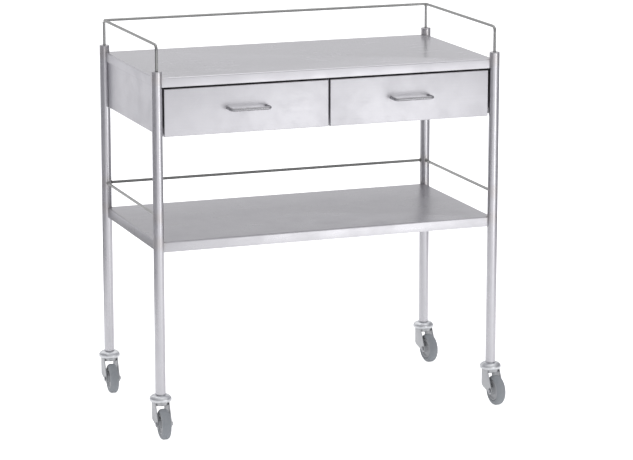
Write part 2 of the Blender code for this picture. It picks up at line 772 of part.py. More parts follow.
def fork_side():
    """The fork seen from the side, (forwards, up), with a rounded end at the axle."""
    heel = WHEEL_RADIUS + FORK_HEEL
    round_off = FORK_BOSS / 2
    top = CROWN_TOP_Z + FIT
    boss = arc((CASTER_TRAIL, WHEEL_RADIUS), FORK_BOSS, 255, 395, 8)
    return [
        (-FORK_BACK, top),
        (-FORK_BACK, heel + round_off),
        (-FORK_BACK + round_off, heel),
        *boss,
        (FORK_CROWN_FRONT + round_off, FORK_SLOT_TOP_Z - 2 * round_off),
        (FORK_CROWN_FRONT, FORK_SLOT_TOP_Z + FIT),
        (FORK_CROWN_FRONT, top),
    ]


def build_fork(corner, swivel):
    """A pressed fork: a cup under the head whose two sides reach forward and down to the axle."""
    name = f"caster_fork_{corner}"
    bottom = WHEEL_RADIUS - 2 * FORK_BOSS
    height = CROWN_TOP_Z - bottom
    level = (0, 0, bottom + height / 2)
    fork = flat_plate(name, fork_plan(0), height, PLATED_STEEL, swivel, level)

    hollow_bottom = bottom - FORK_BOSS
    hollow = CROWN_BOTTOM_Z - hollow_bottom
    inner = flat_plate(
        f"fork_hollow_{corner}",
        fork_plan(FORK_SHEET),
        hollow,
        PLATED_STEEL,
        swivel,
        (0, 0, hollow_bottom + hollow / 2),
    )
    # The side outline's own X points forwards (-Y), and its own Y points up.
    upright = Matrix(((0, 0, -1), (-1, 0, 0), (0, 1, 0))).to_euler()
    outline = flat_plate(
        f"fork_outline_{corner}",
        fork_side(),
        2 * FORK_DIAMETER,
        PLATED_STEEL,
        swivel,
        (0, 0, 0),
        upright,
    )
    slot_height = FORK_SLOT_TOP_Z - hollow_bottom + FORK_BOSS
    slot_shape = block(FORK_SLOT, 4 * CASTER_TRAIL, slot_height)
    slot_place = (0, -CASTER_TRAIL / 2, FORK_SLOT_TOP_Z - slot_height / 2)
    slot = cutter(f"fork_slot_{corner}", mesh_from("fork_slot", slot_shape), swivel, slot_place)
    pin_hole = cylinder_cutter(
        f"king_pin_hole_{corner}",
        KING_PIN / 2 + RUNNING,
        4 * FORK_SHEET,
        CASTER_SIDES,
        swivel,
        (0, 0, CROWN_TOP_Z),
    )
    axle_hole = cylinder_cutter(
        f"axle_hole_{corner}",
        AXLE_DIAMETER / 2 + FIT,
        2 * FORK_WIDTH_AT_AXLE,
        SMALL_SIDES,
        swivel,
        (0, -CASTER_TRAIL, WHEEL_RADIUS),
        (0, math.pi / 2, 0),
    )
    for tool in (inner, outline):
        use_as_cutter(tool)
    combine(fork, inner)
    combine(fork, outline, "INTERSECT")
    for tool in (slot, pin_hole, axle_hole):
        combine(fork, tool)
    smooth(fork)


def build_axle(corner, swivel):
    """A riveted axle: a shaft with a head outside each fork plate."""
    shaft = AXLE_DIAMETER / 2
    head = AXLE_HEAD / 2
    inner = FORK_WIDTH_AT_AXLE / 2 + FIT
    outer = inner + AXLE_HEAD_HEIGHT
    upper = [
        (0, outer),
        (AXLE_HEAD_FLAT / 2, outer),
        (head, outer - AXLE_HEAD_HEIGHT / 2),
        (head, inner),
    ]
    profile = [*upper, (shaft, inner), (shaft, -inner)]
    profile += [(radius, -height) for radius, height in reversed(upper)]
    turned(
        f"caster_axle_{corner}",
        profile,
        SMALL_SIDES,
        FASTENER_STEEL,
        swivel,
        (0, -CASTER_TRAIL, WHEEL_RADIUS),
        (0, math.pi / 2, 0),
    )


def build_wheel(corner, swivel):
    """A moulded hub with a bore for the axle, and a rubber tyre round it."""
    wheel = empty(f"wheel_{corner}", (0, -CASTER_TRAIL, WHEEL_RADIUS), swivel)
    across = (0, math.pi / 2, 0)
    half = WHEEL_WIDTH / 2
    rim = WHEEL_RADIUS - TYRE_THICKNESS
    side_lip = TYRE_ROUNDING / 4
    shoulder = (WHEEL_RADIUS - TYRE_ROUNDING, half - TYRE_ROUNDING)
    tread = arc(shoulder, TYRE_ROUNDING, 90, 0, 3)
    tyre = [(rim, half - side_lip), *tread, *((r, -z) for r, z in reversed(tread))]
    tyre.append((rim, -half + side_lip))
    turned(f"wheel_tyre_{corner}", tyre, TYRE_SIDES, GREY_RUBBER, wheel, (0, 0, 0), across)

    bore = AXLE_DIAMETER / 2 + RUNNING
    boss = HUB_BOSS / 2
    boss_half = FORK_WIDTH_AT_AXLE / 2 - FORK_SHEET - 2 * RUNNING
    rim_outside = rim - FIT
    rim_inside = rim_outside - HUB_WEB / 2
    rim_half = half - 2 * side_lip
    web = HUB_WEB / 2
    side = [(bore, boss_half), (boss, boss_half), (boss, web), (rim_inside, web)]
    side += [(rim_inside, rim_half), (rim_outside, rim_half)]
    hub = [*side, *((r, -z) for r, z in reversed(side))]
    turned(f"wheel_hub_{corner}", hub, CASTER_SIDES, HUB_PLASTIC, wheel, (0, 0, 0), across)


def build_casters():
    for corner, (x, y) in CORNERS.items():
        build_caster_mount(corner, x, y)
        swivel = empty(f"swivel_{corner}", (x, y, 0), cart, math.radians(REST_TURN[corner]))
        build_fork(corner, swivel)
        build_axle(corner, swivel)
        build_wheel(corner, swivel)


# ---------------------------------------------------------------- build

build_legs()
leg_cutters = leg_clearance_cutters()
build_shelf("top_shelf", TOP_SHELF_Z, TOP_LIP, leg_cutters)
build_shelf("lower_shelf", LOWER_SHELF_Z, LOWER_LIP, leg_cutters)
build_guard_rails()
build_case()
build_fixed_rails()
build_drawers()
build_casters()
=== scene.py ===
"""Looks of the instrument cart: brushed sheet, polished tube and rod, plated casters with rubber tyres.

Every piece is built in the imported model's own frame: metres, +Z up, the drawers open towards -Y.
"""

import math

import bmesh
import bpy
from mathutils import Euler, Matrix, Vector


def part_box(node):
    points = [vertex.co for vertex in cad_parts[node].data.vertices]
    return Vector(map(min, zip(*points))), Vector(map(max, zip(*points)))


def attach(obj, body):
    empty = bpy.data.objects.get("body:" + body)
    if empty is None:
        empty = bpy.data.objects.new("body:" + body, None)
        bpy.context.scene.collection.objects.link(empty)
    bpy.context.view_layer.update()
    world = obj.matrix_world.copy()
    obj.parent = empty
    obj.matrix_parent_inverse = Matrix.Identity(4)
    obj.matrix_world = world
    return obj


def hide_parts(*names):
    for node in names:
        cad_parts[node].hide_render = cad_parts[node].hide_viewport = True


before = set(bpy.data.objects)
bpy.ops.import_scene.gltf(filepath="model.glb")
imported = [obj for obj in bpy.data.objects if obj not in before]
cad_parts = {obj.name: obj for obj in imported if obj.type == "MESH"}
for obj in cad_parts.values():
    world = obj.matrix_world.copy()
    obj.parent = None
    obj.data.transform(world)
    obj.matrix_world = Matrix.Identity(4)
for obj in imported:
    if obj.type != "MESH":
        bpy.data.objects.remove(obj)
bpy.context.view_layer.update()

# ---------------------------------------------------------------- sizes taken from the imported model

SIDES = ("left", "right")
CORNERS = ("front_left", "front_right", "back_left", "back_right")


def middle(node):
    low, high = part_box(node)
    return (low + high) / 2


def span(node):
    low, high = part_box(node)
    return high - low


leg_at = {corner: middle(f"leg_{corner}") for corner in CORNERS}
LEG_RADIUS = span("leg_front_left").x / 2
LEG_X = leg_at["front_right"].x
CENTRE_Y = (leg_at["front_left"].y + leg_at["back_left"].y) / 2
LEG_Y = (leg_at["back_left"].y - leg_at["front_left"].y) / 2
TOP_SURFACE_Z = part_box("top_shelf")[1].z
LOWER_SURFACE_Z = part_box("lower_shelf")[1].z
TUBE_LOW_Z, TUBE_HIGH_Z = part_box("leg_front_left")[0].z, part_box("leg_front_left")[1].z
LEG_WALL = 0.0012
SHEET = 0.0012
THIN_SHEET = 0.0010
GAP = 0.0003  # between pieces that touch
ROD_RADIUS = span("rail_post_left").x / 2
SMALL_ROUNDING = 0.0005
CUTTER_REACH = 0.01  # how far a cutter passes what it cuts
CUTTER_OVERRUN = 0.02

# ---------------------------------------------------------------- mesh helpers


def smooth_over(piece, angle):
    """Smooths a piece's faces, and keeps the edges that turn by more than the angle sharp."""
    piece.data.shade_smooth()
    piece.data.set_sharp_from_angle(angle=math.radians(angle))


def piece_from(name, shape, smooth_angle=35):
    """Links a bmesh as an object, faces out, with its sharp edges kept."""
    bmesh.ops.recalc_face_normals(shape, faces=shape.faces)
    mesh = bpy.data.meshes.new(name)
    shape.to_mesh(mesh)
    shape.free()
    piece = bpy.data.objects.new(name, mesh)
    bpy.context.scene.collection.objects.link(piece)
    if smooth_angle:
        smooth_over(piece, smooth_angle)
    return piece


def round_edges(piece, width, angle):
    """Takes the sharpness off every edge that turns by more than the angle."""
    bevel = piece.modifiers.new("round_edges", "BEVEL")
    bevel.width = width
    bevel.segments = 2
    bevel.limit_method = "ANGLE"
    bevel.angle_limit = math.radians(angle)
    bevel.harden_normals = False


def give_thickness(piece, thickness):
    """Thickens an open sheet on the side away from its normals."""
    sheet = piece.modifiers.new("sheet", "SOLIDIFY")
    sheet.thickness = thickness
    sheet.offset = -1
    sheet.use_even_offset = True
    sheet.use_quality_normals = True


def lathe(name, profile, sides, at=(0, 0, 0), turn=None, smooth_angle=35):
    """Turns a profile of (radius, height) points about Z; a profile off the axis closes on itself."""
    shape = bmesh.new()
    rings = []
    for radius, height in profile:
        if radius < 1e-6:
            rings.append([shape.verts.new((0, 0, height))])
            continue
        rings.append([
            shape.verts.new((
                radius * math.cos(math.tau * side / sides),
                radius * math.sin(math.tau * side / sides),
                height,
            ))
            for side in range(sides)
        ])
    pairs = list(zip(rings, rings[1:]))
    if len(rings[0]) > 1:
        pairs.append((rings[-1], rings[0]))
    for first, second in pairs:
        for side in range(sides):
            after = (side + 1) % sides
            if len(first) == 1 and len(second) == 1:
                continue
            if len(first) == 1:
                shape.faces.new((first[0], second[after], second[side]))
            elif len(second) == 1:
                shape.faces.new((first[side], first[after], second[0]))
            else:
                shape.faces.new((first[side], first[after], second[after], second[side]))
    spin = turn if turn is not None else Matrix.Identity(4)
    shape.transform(Matrix.Translation(at) @ spin)
    return piece_from(name, shape, smooth_angle)


def arc(centre, radius, start, end, steps):
    """Points on an arc in a plane, angles in degrees."""
    return [
        (
            centre[0] + radius * math.cos(math.radians(start + (end - start) * step / steps)),
            centre[1] + radius * math.sin(math.radians(start + (end - start) * step / steps)),
        )
        for step in range(steps + 1)
    ]


def bent_path(corners, radii, steps=12):
    """A polyline through the corners, each inner corner rounded to its radius."""
    corners = [Vector(corner) for corner in corners]
    points = [corners[0]]
    for before, corner, after, radius in zip(corners, corners[1:], corners[2:], radii):
        back = (before - corner).normalized()
        ahead = (after - corner).normalized()
        half = back.angle(ahead) / 2
        centre = corner + (back + ahead).normalized() * radius / math.sin(half)
        first = corner + back * radius / math.tan(half) - centre
        turn = math.pi - 2 * half
        axis = ahead.cross(back)
        for step in range(steps + 1):
            points.append(centre + Matrix.Rotation(turn * step / steps, 3, axis) @ first)
    points.append(corners[-1])
    return points


def swept_rod(name, points, radius, sides):
    """A round rod along a polyline, with flat ends."""
    points = [Vector(point) for point in points]
    shape = bmesh.new()
    rings = []
    ahead = (points[1] - points[0]).normalized()
    across = ahead.orthogonal().normalized()
    for index, point in enumerate(points):
        back = (point - points[index - 1]).normalized() if index else None
        on = (points[index + 1] - point).normalized() if index + 1 < len(points) else None
        along = (back + on).normalized() if back and on else (back or on)
        across = (across - along * across.dot(along)).normalized()
        up = along.cross(across)
        rings.append([
            shape.verts.new(
                point
                + across * radius * math.cos(math.tau * side / sides)
                + up * radius * math.sin(math.tau * side / sides)
            )
            for side in range(sides)
        ])
    for first, second in zip(rings, rings[1:]):
        for side in range(sides):
            after = (side + 1) % sides
            shape.faces.new((first[side], first[after], second[after], second[side]))
    shape.faces.new(rings[0])
    shape.faces.new(rings[-1])
    return piece_from(name, shape, 50)


def folded_pan(name, low, high, opening, bend, sheet, hem, hem_out=False):
    """A box of sheet with one open side, soft bends round its face, and a hem round the opening."""
    low, high = Vector(low), Vector(high)
    size = high - low
    shape = bmesh.new()
    bmesh.ops.create_cube(shape, size=1.0, matrix=Matrix.Diagonal((*size, 1)))
    opening = Vector(opening)
    open_face = max(shape.faces, key=lambda face: face.calc_center_median().dot(opening))
    if not hem_out:
        bmesh.ops.inset_region(shape, faces=[open_face], thickness=hem, use_even_offset=True)
    bmesh.ops.delete(shape, geom=[open_face], context="FACES_ONLY")
    face_edges = [
        edge for edge in shape.edges
        if all(vert.co.dot(opening) < 0 for vert in edge.verts)
    ]
    bmesh.ops.bevel(
        shape, geom=face_edges, offset=bend, segments=5, profile=0.5, affect="EDGES"
    )
    if hem_out:
        rim = [edge for edge in shape.edges if edge.is_boundary]
        made = bmesh.ops.extrude_edge_only(shape, edges=rim)["geom"]
        for vert in (item for item in made if isinstance(item, bmesh.types.BMVert)):
            for axis in range(3):
                if abs(opening[axis]) < 0.5:
                    vert.co[axis] += math.copysign(hem, vert.co[axis])
    shape.transform(Matrix.Translation((low + high) / 2))
    piece = piece_from(name, shape)
    give_thickness(piece, sheet)
    return piece


def cut(piece, *tools, operation="DIFFERENCE"):
    """Cuts the tools out of a piece for good, or keeps only what lies in them, and removes them."""
    for tool in tools:
        step = piece.modifiers.new(tool.name, "BOOLEAN")
        step.operation = operation
        step.object = tool
    settle(piece)
    for tool in tools:
        bpy.data.objects.remove(tool, do_unlink=True)


def settle(piece):
    """Applies a piece's modifiers to its mesh."""
    bpy.context.view_layer.update()
    graph = bpy.context.evaluated_depsgraph_get()
    done = bpy.data.meshes.new_from_object(piece.evaluated_get(graph))
    piece.modifiers.clear()
    piece.data = done


def joined(name, pieces):
    """Several pieces as one object."""
    for piece in pieces:
        if piece.modifiers:
            settle(piece)
    shape = bmesh.new()
    for piece in pieces:
        shape.from_mesh(piece.data)
        bpy.data.objects.remove(piece, do_unlink=True)
    mesh = bpy.data.meshes.new(name)
    shape.to_mesh(mesh)
    shape.free()
    whole = bpy.data.objects.new(name, mesh)
    bpy.context.scene.collection.objects.link(whole)
    return whole


# ---------------------------------------------------------------- finishes: shared node groups


def new_group(name, inputs, outputs):
    """A shader node group with named sockets: inputs are (label, kind, value), outputs (label, kind)."""
    tree = bpy.data.node_groups.new(name, "ShaderNodeTree")
    kinds = {"value": "NodeSocketFloat", "vector": "NodeSocketVector"}
    for label, kind, value in inputs:
        socket = tree.interface.new_socket(name=label, in_out="INPUT", socket_type=kinds[kind])
        socket.default_value = value
    for label, kind in outputs:
        tree.interface.new_socket(name=label, in_out="OUTPUT", socket_type=kinds[kind])
    return tree, tree.nodes.new("NodeGroupInput"), tree.nodes.new("NodeGroupOutput")


def add(tree, kind, settings=None, **inputs):
    """Adds a node; inputs are given by socket name, or by place as in_0, as a value or another socket."""
    item = tree.nodes.new(kind)
    for key, value in (settings or {}).items():
        setattr(item, key, value)
    for key, value in inputs.items():
        socket = item.inputs[int(key[3:])] if key.startswith("in_") else item.inputs[key.replace("_", " ")]
        if isinstance(value, bpy.types.NodeSocket):
            tree.links.new(value, socket)
        else:
            socket.default_value = value
    return item


def noise(tree, vector, scale, detail=2.0, roughness=0.5):
    return add(
        tree, "ShaderNodeTexNoise", Vector=vector, Scale=scale, Detail=detail, Roughness=roughness
    ).outputs["Fac"]


def spread(tree, value, low, high, to_low=0.0, to_high=1.0):
    return add(
        tree, "ShaderNodeMapRange", Value=value,
        From_Min=low, From_Max=high, To_Min=to_low, To_Max=to_high,
    ).outputs["Result"]


def math_node(tree, operation, *values):
    settings = {"operation": operation}
    return add(tree, "ShaderNodeMath", settings, **{f"in_{i}": v for i, v in enumerate(values)}).outputs[0]


def make_grain():
    """Fine lines left by brushing or polishing, long in one direction and thin in the others."""
    tree, inside, outside = new_group(
        "polishing_grain",
        [("Fineness", "vector", (6.0, 900.0, 900.0)), ("Depth", "value", 0.2), ("Waviness", "value", 0.2)],
        [("Lines", "value"), ("Patches", "value"), ("Normal", "vector")],
    )
    place = add(tree, "ShaderNodeTexCoord").outputs["Object"]
    fine = add(
        tree, "ShaderNodeVectorMath", {"operation": "MULTIPLY"}, in_0=place, in_1=inside.outputs["Fineness"]
    ).outputs[0]
    broad = add(tree, "ShaderNodeVectorMath", {"operation": "SCALE"}, in_0=fine, Scale=0.16).outputs[0]
    fine_lines = noise(tree, fine, 1.0, 3.0, 0.65)
    broad_lines = noise(tree, broad, 1.0, 2.0, 0.5)
    lines = math_node(
        tree, "ADD",
        math_node(tree, "MULTIPLY", fine_lines, 0.6), math_node(tree, "MULTIPLY", broad_lines, 0.4),
    )
    patches = noise(tree, place, 5.0, 2.0, 0.5)
    ripple = add(
        tree, "ShaderNodeBump", Strength=inside.outputs["Waviness"], Distance=0.004,
        Height=noise(tree, place, 3.2, 1.0, 0.4),
    ).outputs["Normal"]
    normal = add(
        tree, "ShaderNodeBump", Strength=inside.outputs["Depth"], Distance=0.001, Height=lines, Normal=ripple
    ).outputs["Normal"]
    tree.links.new(spread(tree, lines, 0.3, 0.7), outside.inputs["Lines"])
    tree.links.new(spread(tree, patches, 0.3, 0.7), outside.inputs["Patches"])
    tree.links.new(normal, outside.inputs["Normal"])
    return tree


def make_handling():
    """Marks of use: dull smudges where hands and cloths pass, and a few hair-thin scratches."""
    tree, inside, outside = new_group(
        "marks_of_use",
        [("Smudge Size", "value", 14.0), ("Scratch Size", "value", 22.0)],
        [("Smudges", "value"), ("Scratches", "value")],
    )
    place = add(tree, "ShaderNodeTexCoord").outputs["Object"]
    smudges = noise(tree, place, inside.outputs["Smudge Size"], 4.0, 0.62)
    tilted = add(
        tree, "ShaderNodeVectorRotate", {"rotation_type": "EULER_XYZ"},
        Vector=place, Rotation=(0.5, 0.9, 0.35),
    ).outputs[0]
    stretched = add(
        tree, "ShaderNodeVectorMath", {"operation": "MULTIPLY"}, in_0=tilted, in_1=(0.18, 1.0, 1.0)
    ).outputs[0]
    cracks = add(
        tree, "ShaderNodeTexVoronoi", {"feature": "DISTANCE_TO_EDGE"},
        Vector=stretched, Scale=inside.outputs["Scratch Size"], Randomness=1.0,
    ).outputs["Distance"]
    hair = spread(tree, cracks, 0.0, 0.012, 1.0, 0.0)
    here_and_there = spread(tree, noise(tree, place, 9.0, 1.0), 0.52, 0.6)
    tree.links.new(spread(tree, smudges, 0.42, 0.72), outside.inputs["Smudges"])
    tree.links.new(math_node(tree, "MULTIPLY", hair, here_and_there), outside.inputs["Scratches"])
    return tree


def make_crevice_shade_and_edges():
    """Darkening close to another surface, painted shade where little light reaches, with dust and polish
    residue in it too; and worn outer edges, also painted lighter as a highlight.
    """
    tree, inside, outside = new_group(
        "painted_crevice_shade_and_edges",
        [("Reach", "value", 0.006)],
        [("Crevice Shade", "value"), ("Edge", "value")],
    )
    near = add(
        tree, "ShaderNodeAmbientOcclusion", {"samples": 4}, Distance=inside.outputs["Reach"]
    ).outputs["AO"]
    outer = add(
        tree, "ShaderNodeAmbientOcclusion", {"samples": 4, "inside": True}, Distance=0.0015
    ).outputs["AO"]
    # Crevice Shade: painted shade from ambient occlusion, darkest in narrow gaps between parts.
    tree.links.new(spread(tree, near, 0.35, 0.95, 1.0, 0.0), outside.inputs["Crevice Shade"])
    # Edge: worn outer edges, which the finishes also paint lighter as a painted highlight.
    tree.links.new(spread(tree, outer, 0.35, 0.9, 1.0, 0.0), outside.inputs["Edge"])
    return tree


def make_weld_tint():
    """How close a point is to the welds at one height on the four legs."""
    tree, inside, outside = new_group(
        "weld_heat",
        [("Height", "value", 0.5), ("Reach", "value", 0.012)],
        [("Heat", "value")],
    )
    place = add(tree, "ShaderNodeTexCoord").outputs["Object"]
    from_centre = add(
        tree, "ShaderNodeVectorMath", {"operation": "SUBTRACT"}, in_0=place, in_1=(0, CENTRE_Y, 0)
    ).outputs[0]
    folded = add(tree, "ShaderNodeVectorMath", {"operation": "ABSOLUTE"}, in_0=from_centre).outputs[0]
    weld = add(tree, "ShaderNodeCombineXYZ", X=LEG_X, Y=LEG_Y, Z=inside.outputs["Height"]).outputs[0]
    away = add(
        tree, "ShaderNodeVectorMath", {"operation": "DISTANCE"}, in_0=folded, in_1=weld
    ).outputs["Value"]
    uneven = spread(tree, noise(tree, place, 260.0, 2.0), 0.3, 0.7, -0.003, 0.003)
    past = math_node(tree, "SUBTRACT", math_node(tree, "ADD", away, uneven), LEG_RADIUS)
    near = math_node(tree, "DIVIDE", past, inside.outputs["Reach"])
    tree.links.new(spread(tree, near, 0.0, 1.0, 1.0, 0.0), outside.inputs["Heat"])
    return tree


def make_scuffs():
    """Rubber that has rolled on floors: dusty tread and sides, scuffs and small cuts."""
    tree, inside, outside = new_group(
        "rolling_scuffs",
        [("Size", "value", 160.0)],
        [("Dust", "value"), ("Scuffs", "value"), ("Height", "value")],
    )
    place = add(tree, "ShaderNodeTexCoord").outputs["Object"]
    cloud = noise(tree, place, inside.outputs["Size"], 5.0, 0.6)
    fine = noise(tree, place, 900.0, 3.0, 0.7)
    cells = add(tree, "ShaderNodeTexVoronoi", Vector=place, Scale=420.0).outputs["Distance"]
    tree.links.new(spread(tree, cloud, 0.38, 0.68), outside.inputs["Dust"])
    tree.links.new(spread(tree, fine, 0.55, 0.75), outside.inputs["Scuffs"])
    height = math_node(tree, "ADD", fine, math_node(tree, "MULTIPLY", cells, 0.5))
    tree.links.new(height, outside.inputs["Height"])
    return tree


GRAIN = make_grain()
HANDLING = make_handling()
CREVICE_SHADE_AND_EDGES = make_crevice_shade_and_edges()
WELD_HEAT = make_weld_tint()
SCUFFS = make_scuffs()


def use_group(tree, group, **values):
    item = tree.nodes.new("ShaderNodeGroup")
    item.node_tree = group
    for label, value in values.items():
        item.inputs[label.replace("_", " ")].default_value = value
    return item


def mix_colour(tree, amount, first, second):
    """A colour from first to second, as amount goes from 0 to 1; each is a socket or a colour."""
    item = tree.nodes.new("ShaderNodeMix")
    item.data_type = "RGBA"
    for index, value in ((0, amount), (6, first), (7, second)):
        if isinstance(value, bpy.types.NodeSocket):
            tree.links.new(value, item.inputs[index])
        else:
            item.inputs[index].default_value = (*value, 1.0) if index else value
    return item.outputs[2]


def shade(colour, factor):
    return tuple(part * factor for part in colour)


def principled(name, metallic, specular=0.5):
    material = bpy.data.materials.new(name)
    material.use_nodes = True
    shader = material.node_tree.nodes["Principled BSDF"]
    shader.inputs["Metallic"].default_value = metallic
    shader.inputs["Specular IOR Level"].default_value = specular
    return material, material.node_tree, shader


PATCH_AMOUNT, PATCH_SHADE = 0.35, 0.96
SMUDGE_AMOUNT, SMUDGE_SHADE, SMUDGE_DULLING = 0.18, 0.9, 0.07
SCRATCH_SHADE = 1.12
HEAT_AMOUNT, STRAW_TINT = 0.45, (0.86, 0.8, 0.72)
# Painted shade: crevices and gaps are darkened towards this share of the colour.
PAINTED_CREVICE_SHADE = 0.45
# Worn outer edges, lightened as a painted highlight as well.
WORN_EDGE_HIGHLIGHT_AMOUNT, WORN_EDGE_HIGHLIGHT_SHADE = 0.4, 1.15
# Painted shade on upright faces: how much and how far their colour is darkened.
LIP_PAINTED_SHADE_AMOUNT, LIP_PAINTED_SHADE = 0.2, 0.92
UPRIGHT_BELOW, FLAT_ABOVE = 0.3, 0.8  # how far a face's normal points up or down
LINE_POLISH, LINE_DULLING = 0.03, 0.05


def tinted(tree, mask, amount, tone, colour):
    """A tone that turns towards a colour where the mask is 1, by the amount at most."""
    return mix_colour(tree, spread(tree, mask, 0, 1, 0, amount), tone, colour)


def steel(
    name, colour, roughness, fineness, depth, waviness,
    welds=(), smudge_size=14.0, crevice_shade=0.5, streaks=0.06, scratch=0.5, lips=0.0,
):
    """Stainless or plated steel: grain, patches, smudges, scratches, painted shade in crevices, worn edges
    painted lighter as a highlight too, and weld heat.

    With lips above 0 the upright faces, dressed by hand after the bending, are rougher by that much, and
    their colour is painted darker, a painted shade that tones down the highlight they catch.
    """
    material, tree, shader = principled(name, 1.0)
    grain = use_group(tree, GRAIN, Fineness=fineness, Depth=depth, Waviness=waviness)
    marks = use_group(tree, HANDLING, Smudge_Size=smudge_size)
    corners = use_group(tree, CREVICE_SHADE_AND_EDGES)
    lines, smudges = grain.outputs["Lines"], marks.outputs["Smudges"]

    tone = mix_colour(tree, lines, shade(colour, 1 - streaks), shade(colour, 1 + streaks))
    tone = tinted(tree, grain.outputs["Patches"], PATCH_AMOUNT, tone, shade(colour, PATCH_SHADE))
    tone = tinted(tree, smudges, SMUDGE_AMOUNT, tone, shade(colour, SMUDGE_SHADE))
    tone = tinted(tree, marks.outputs["Scratches"], scratch, tone, shade(colour, SCRATCH_SHADE))
    straw = tuple(part * tint for part, tint in zip(colour, STRAW_TINT))
    for height in welds:
        heat = use_group(tree, WELD_HEAT, Height=height)
        tone = tinted(tree, heat.outputs["Heat"], HEAT_AMOUNT, tone, straw)
    # Painted shade in crevices and gaps, where little light reaches.
    tone = tinted(tree, corners.outputs["Crevice Shade"], crevice_shade, tone, shade(colour, PAINTED_CREVICE_SHADE))
    # Worn outer edges painted lighter, a painted highlight as well as wear.
    tone = tinted(tree, corners.outputs["Edge"], WORN_EDGE_HIGHLIGHT_AMOUNT, tone, shade(colour, WORN_EDGE_HIGHLIGHT_SHADE))
    rough = math_node(
        tree, "ADD",
        spread(tree, lines, 0, 1, roughness - LINE_POLISH, roughness + LINE_DULLING),
        spread(tree, smudges, 0, 1, 0, SMUDGE_DULLING),
    )
    if lips:
        normal = add(tree, "ShaderNodeNewGeometry").outputs["Normal"]
        facing = add(tree, "ShaderNodeSeparateXYZ", Vector=normal)
        flat = math_node(tree, "ABSOLUTE", facing.outputs["Z"], 0.0)
        lip_painted_shade = spread(tree, flat, UPRIGHT_BELOW, FLAT_ABOVE, LIP_PAINTED_SHADE_AMOUNT, 0)
        # Upright faces painted darker: painted shade against the highlight they catch.
        tone = mix_colour(tree, lip_painted_shade, tone, shade(colour, LIP_PAINTED_SHADE))
        rough = math_node(tree, "ADD", rough, spread(tree, flat, UPRIGHT_BELOW, FLAT_ABOVE, lips, 0))
    tree.links.new(tone, shader.inputs["Base Color"])
    tree.links.new(rough, shader.inputs["Roughness"])
    tree.links.new(grain.outputs["Normal"], shader.inputs["Normal"])
    return material


SCUFF_AMOUNT, SCUFF_SHADE, SCUFF_DULLING = 0.35, 1.25, 0.06
# Painted shade in corners and gaps of plastic and rubber, with dust in them too.
CORNER_SHADE_AMOUNT, PAINTED_CORNER_SHADE = 0.3, 0.5
SKIN_DEPTH = 0.0002


def moulded(name, colour, dusty, roughness, dust_amount, bump):
    """Plastic or rubber: a slightly uneven colour, dust in patches, painted shade in corners with dust in
    them too, and a fine pitted skin.
    """
    material, tree, shader = principled(name, 0.0, 0.4)
    wear = use_group(tree, SCUFFS)
    corners = use_group(tree, CREVICE_SHADE_AND_EDGES, Reach=0.01)
    dust, scuffs = wear.outputs["Dust"], wear.outputs["Scuffs"]
    tone = tinted(tree, dust, dust_amount, colour, dusty)
    tone = tinted(tree, scuffs, SCUFF_AMOUNT, tone, shade(colour, SCUFF_SHADE))
    # Painted shade in corners and gaps, with dust in them too.
    tone = tinted(tree, corners.outputs["Crevice Shade"], CORNER_SHADE_AMOUNT, tone, shade(colour, PAINTED_CORNER_SHADE))
    rough = math_node(
        tree, "ADD",
        spread(tree, dust, 0, 1, roughness - 0.05, roughness + 0.1),
        spread(tree, scuffs, 0, 1, 0, SCUFF_DULLING),
    )
    skin = add(
        tree, "ShaderNodeBump", Strength=bump, Distance=SKIN_DEPTH, Height=wear.outputs["Height"]
    )
    tree.links.new(tone, shader.inputs["Base Color"])
    tree.links.new(rough, shader.inputs["Roughness"])
    tree.links.new(skin.outputs["Normal"], shader.inputs["Normal"])
    return material


# ---------------------------------------------------------------- finishes: the cart's own

LOWER_RAIL_Z = middle("lower_rail_back").z
FRAME_WELDS = (TOP_SURFACE_Z, LOWER_SURFACE_Z, LOWER_RAIL_Z)

# How fine the grain is along X, Y and Z
ALONG_X = (7.0, 800.0, 800.0)
ALONG_Y = (800.0, 7.0, 800.0)
ALONG_Z = (700.0, 700.0, 9.0)
EVERY_WAY = (160.0, 160.0, 160.0)
FINE_EVERY_WAY = (300.0, 300.0, 300.0)

STEEL = (0.64, 0.635, 0.66)
DRAWN_STEEL = (0.645, 0.65, 0.635)
ZINC_RAIL = (0.50, 0.52, 0.55)
BRIGHT_ZINC = (0.80, 0.815, 0.83)
PRESSED_ZINC = (0.58, 0.59, 0.60)
PLAIN_STEEL = (0.42, 0.43, 0.45)
RUBBER, DUSTY_RUBBER = (0.30, 0.322, 0.345), (0.38, 0.39, 0.40)
PLASTIC, DUSTY_PLASTIC = (0.42, 0.435, 0.45), (0.50, 0.505, 0.51)


# Drawn rod painted darker or lighter run by run: painted shade and light for how much of the dark room each
# run reflects.
def rod_finish(name, painted_light_factor, grain, welds=()):
    return steel(name, shade(DRAWN_STEEL, painted_light_factor), 0.28, grain, 0.02, 0.01, welds)


# The top, lower shelf, fronts, side panels and handle are one stainless STEEL, each painted lighter or
# darker: painted light and shade for how it catches the lamps and the room.
# In order: name, colour, roughness, grain, the grain's depth, waviness and welds, then what differs
TOP_STEEL = steel(
    "brushed_top", shade(STEEL, 1.08), 0.20, ALONG_X, 0.01, 0.0, (TOP_SURFACE_Z,),
    streaks=0.015, scratch=0.05, lips=0.18,
)
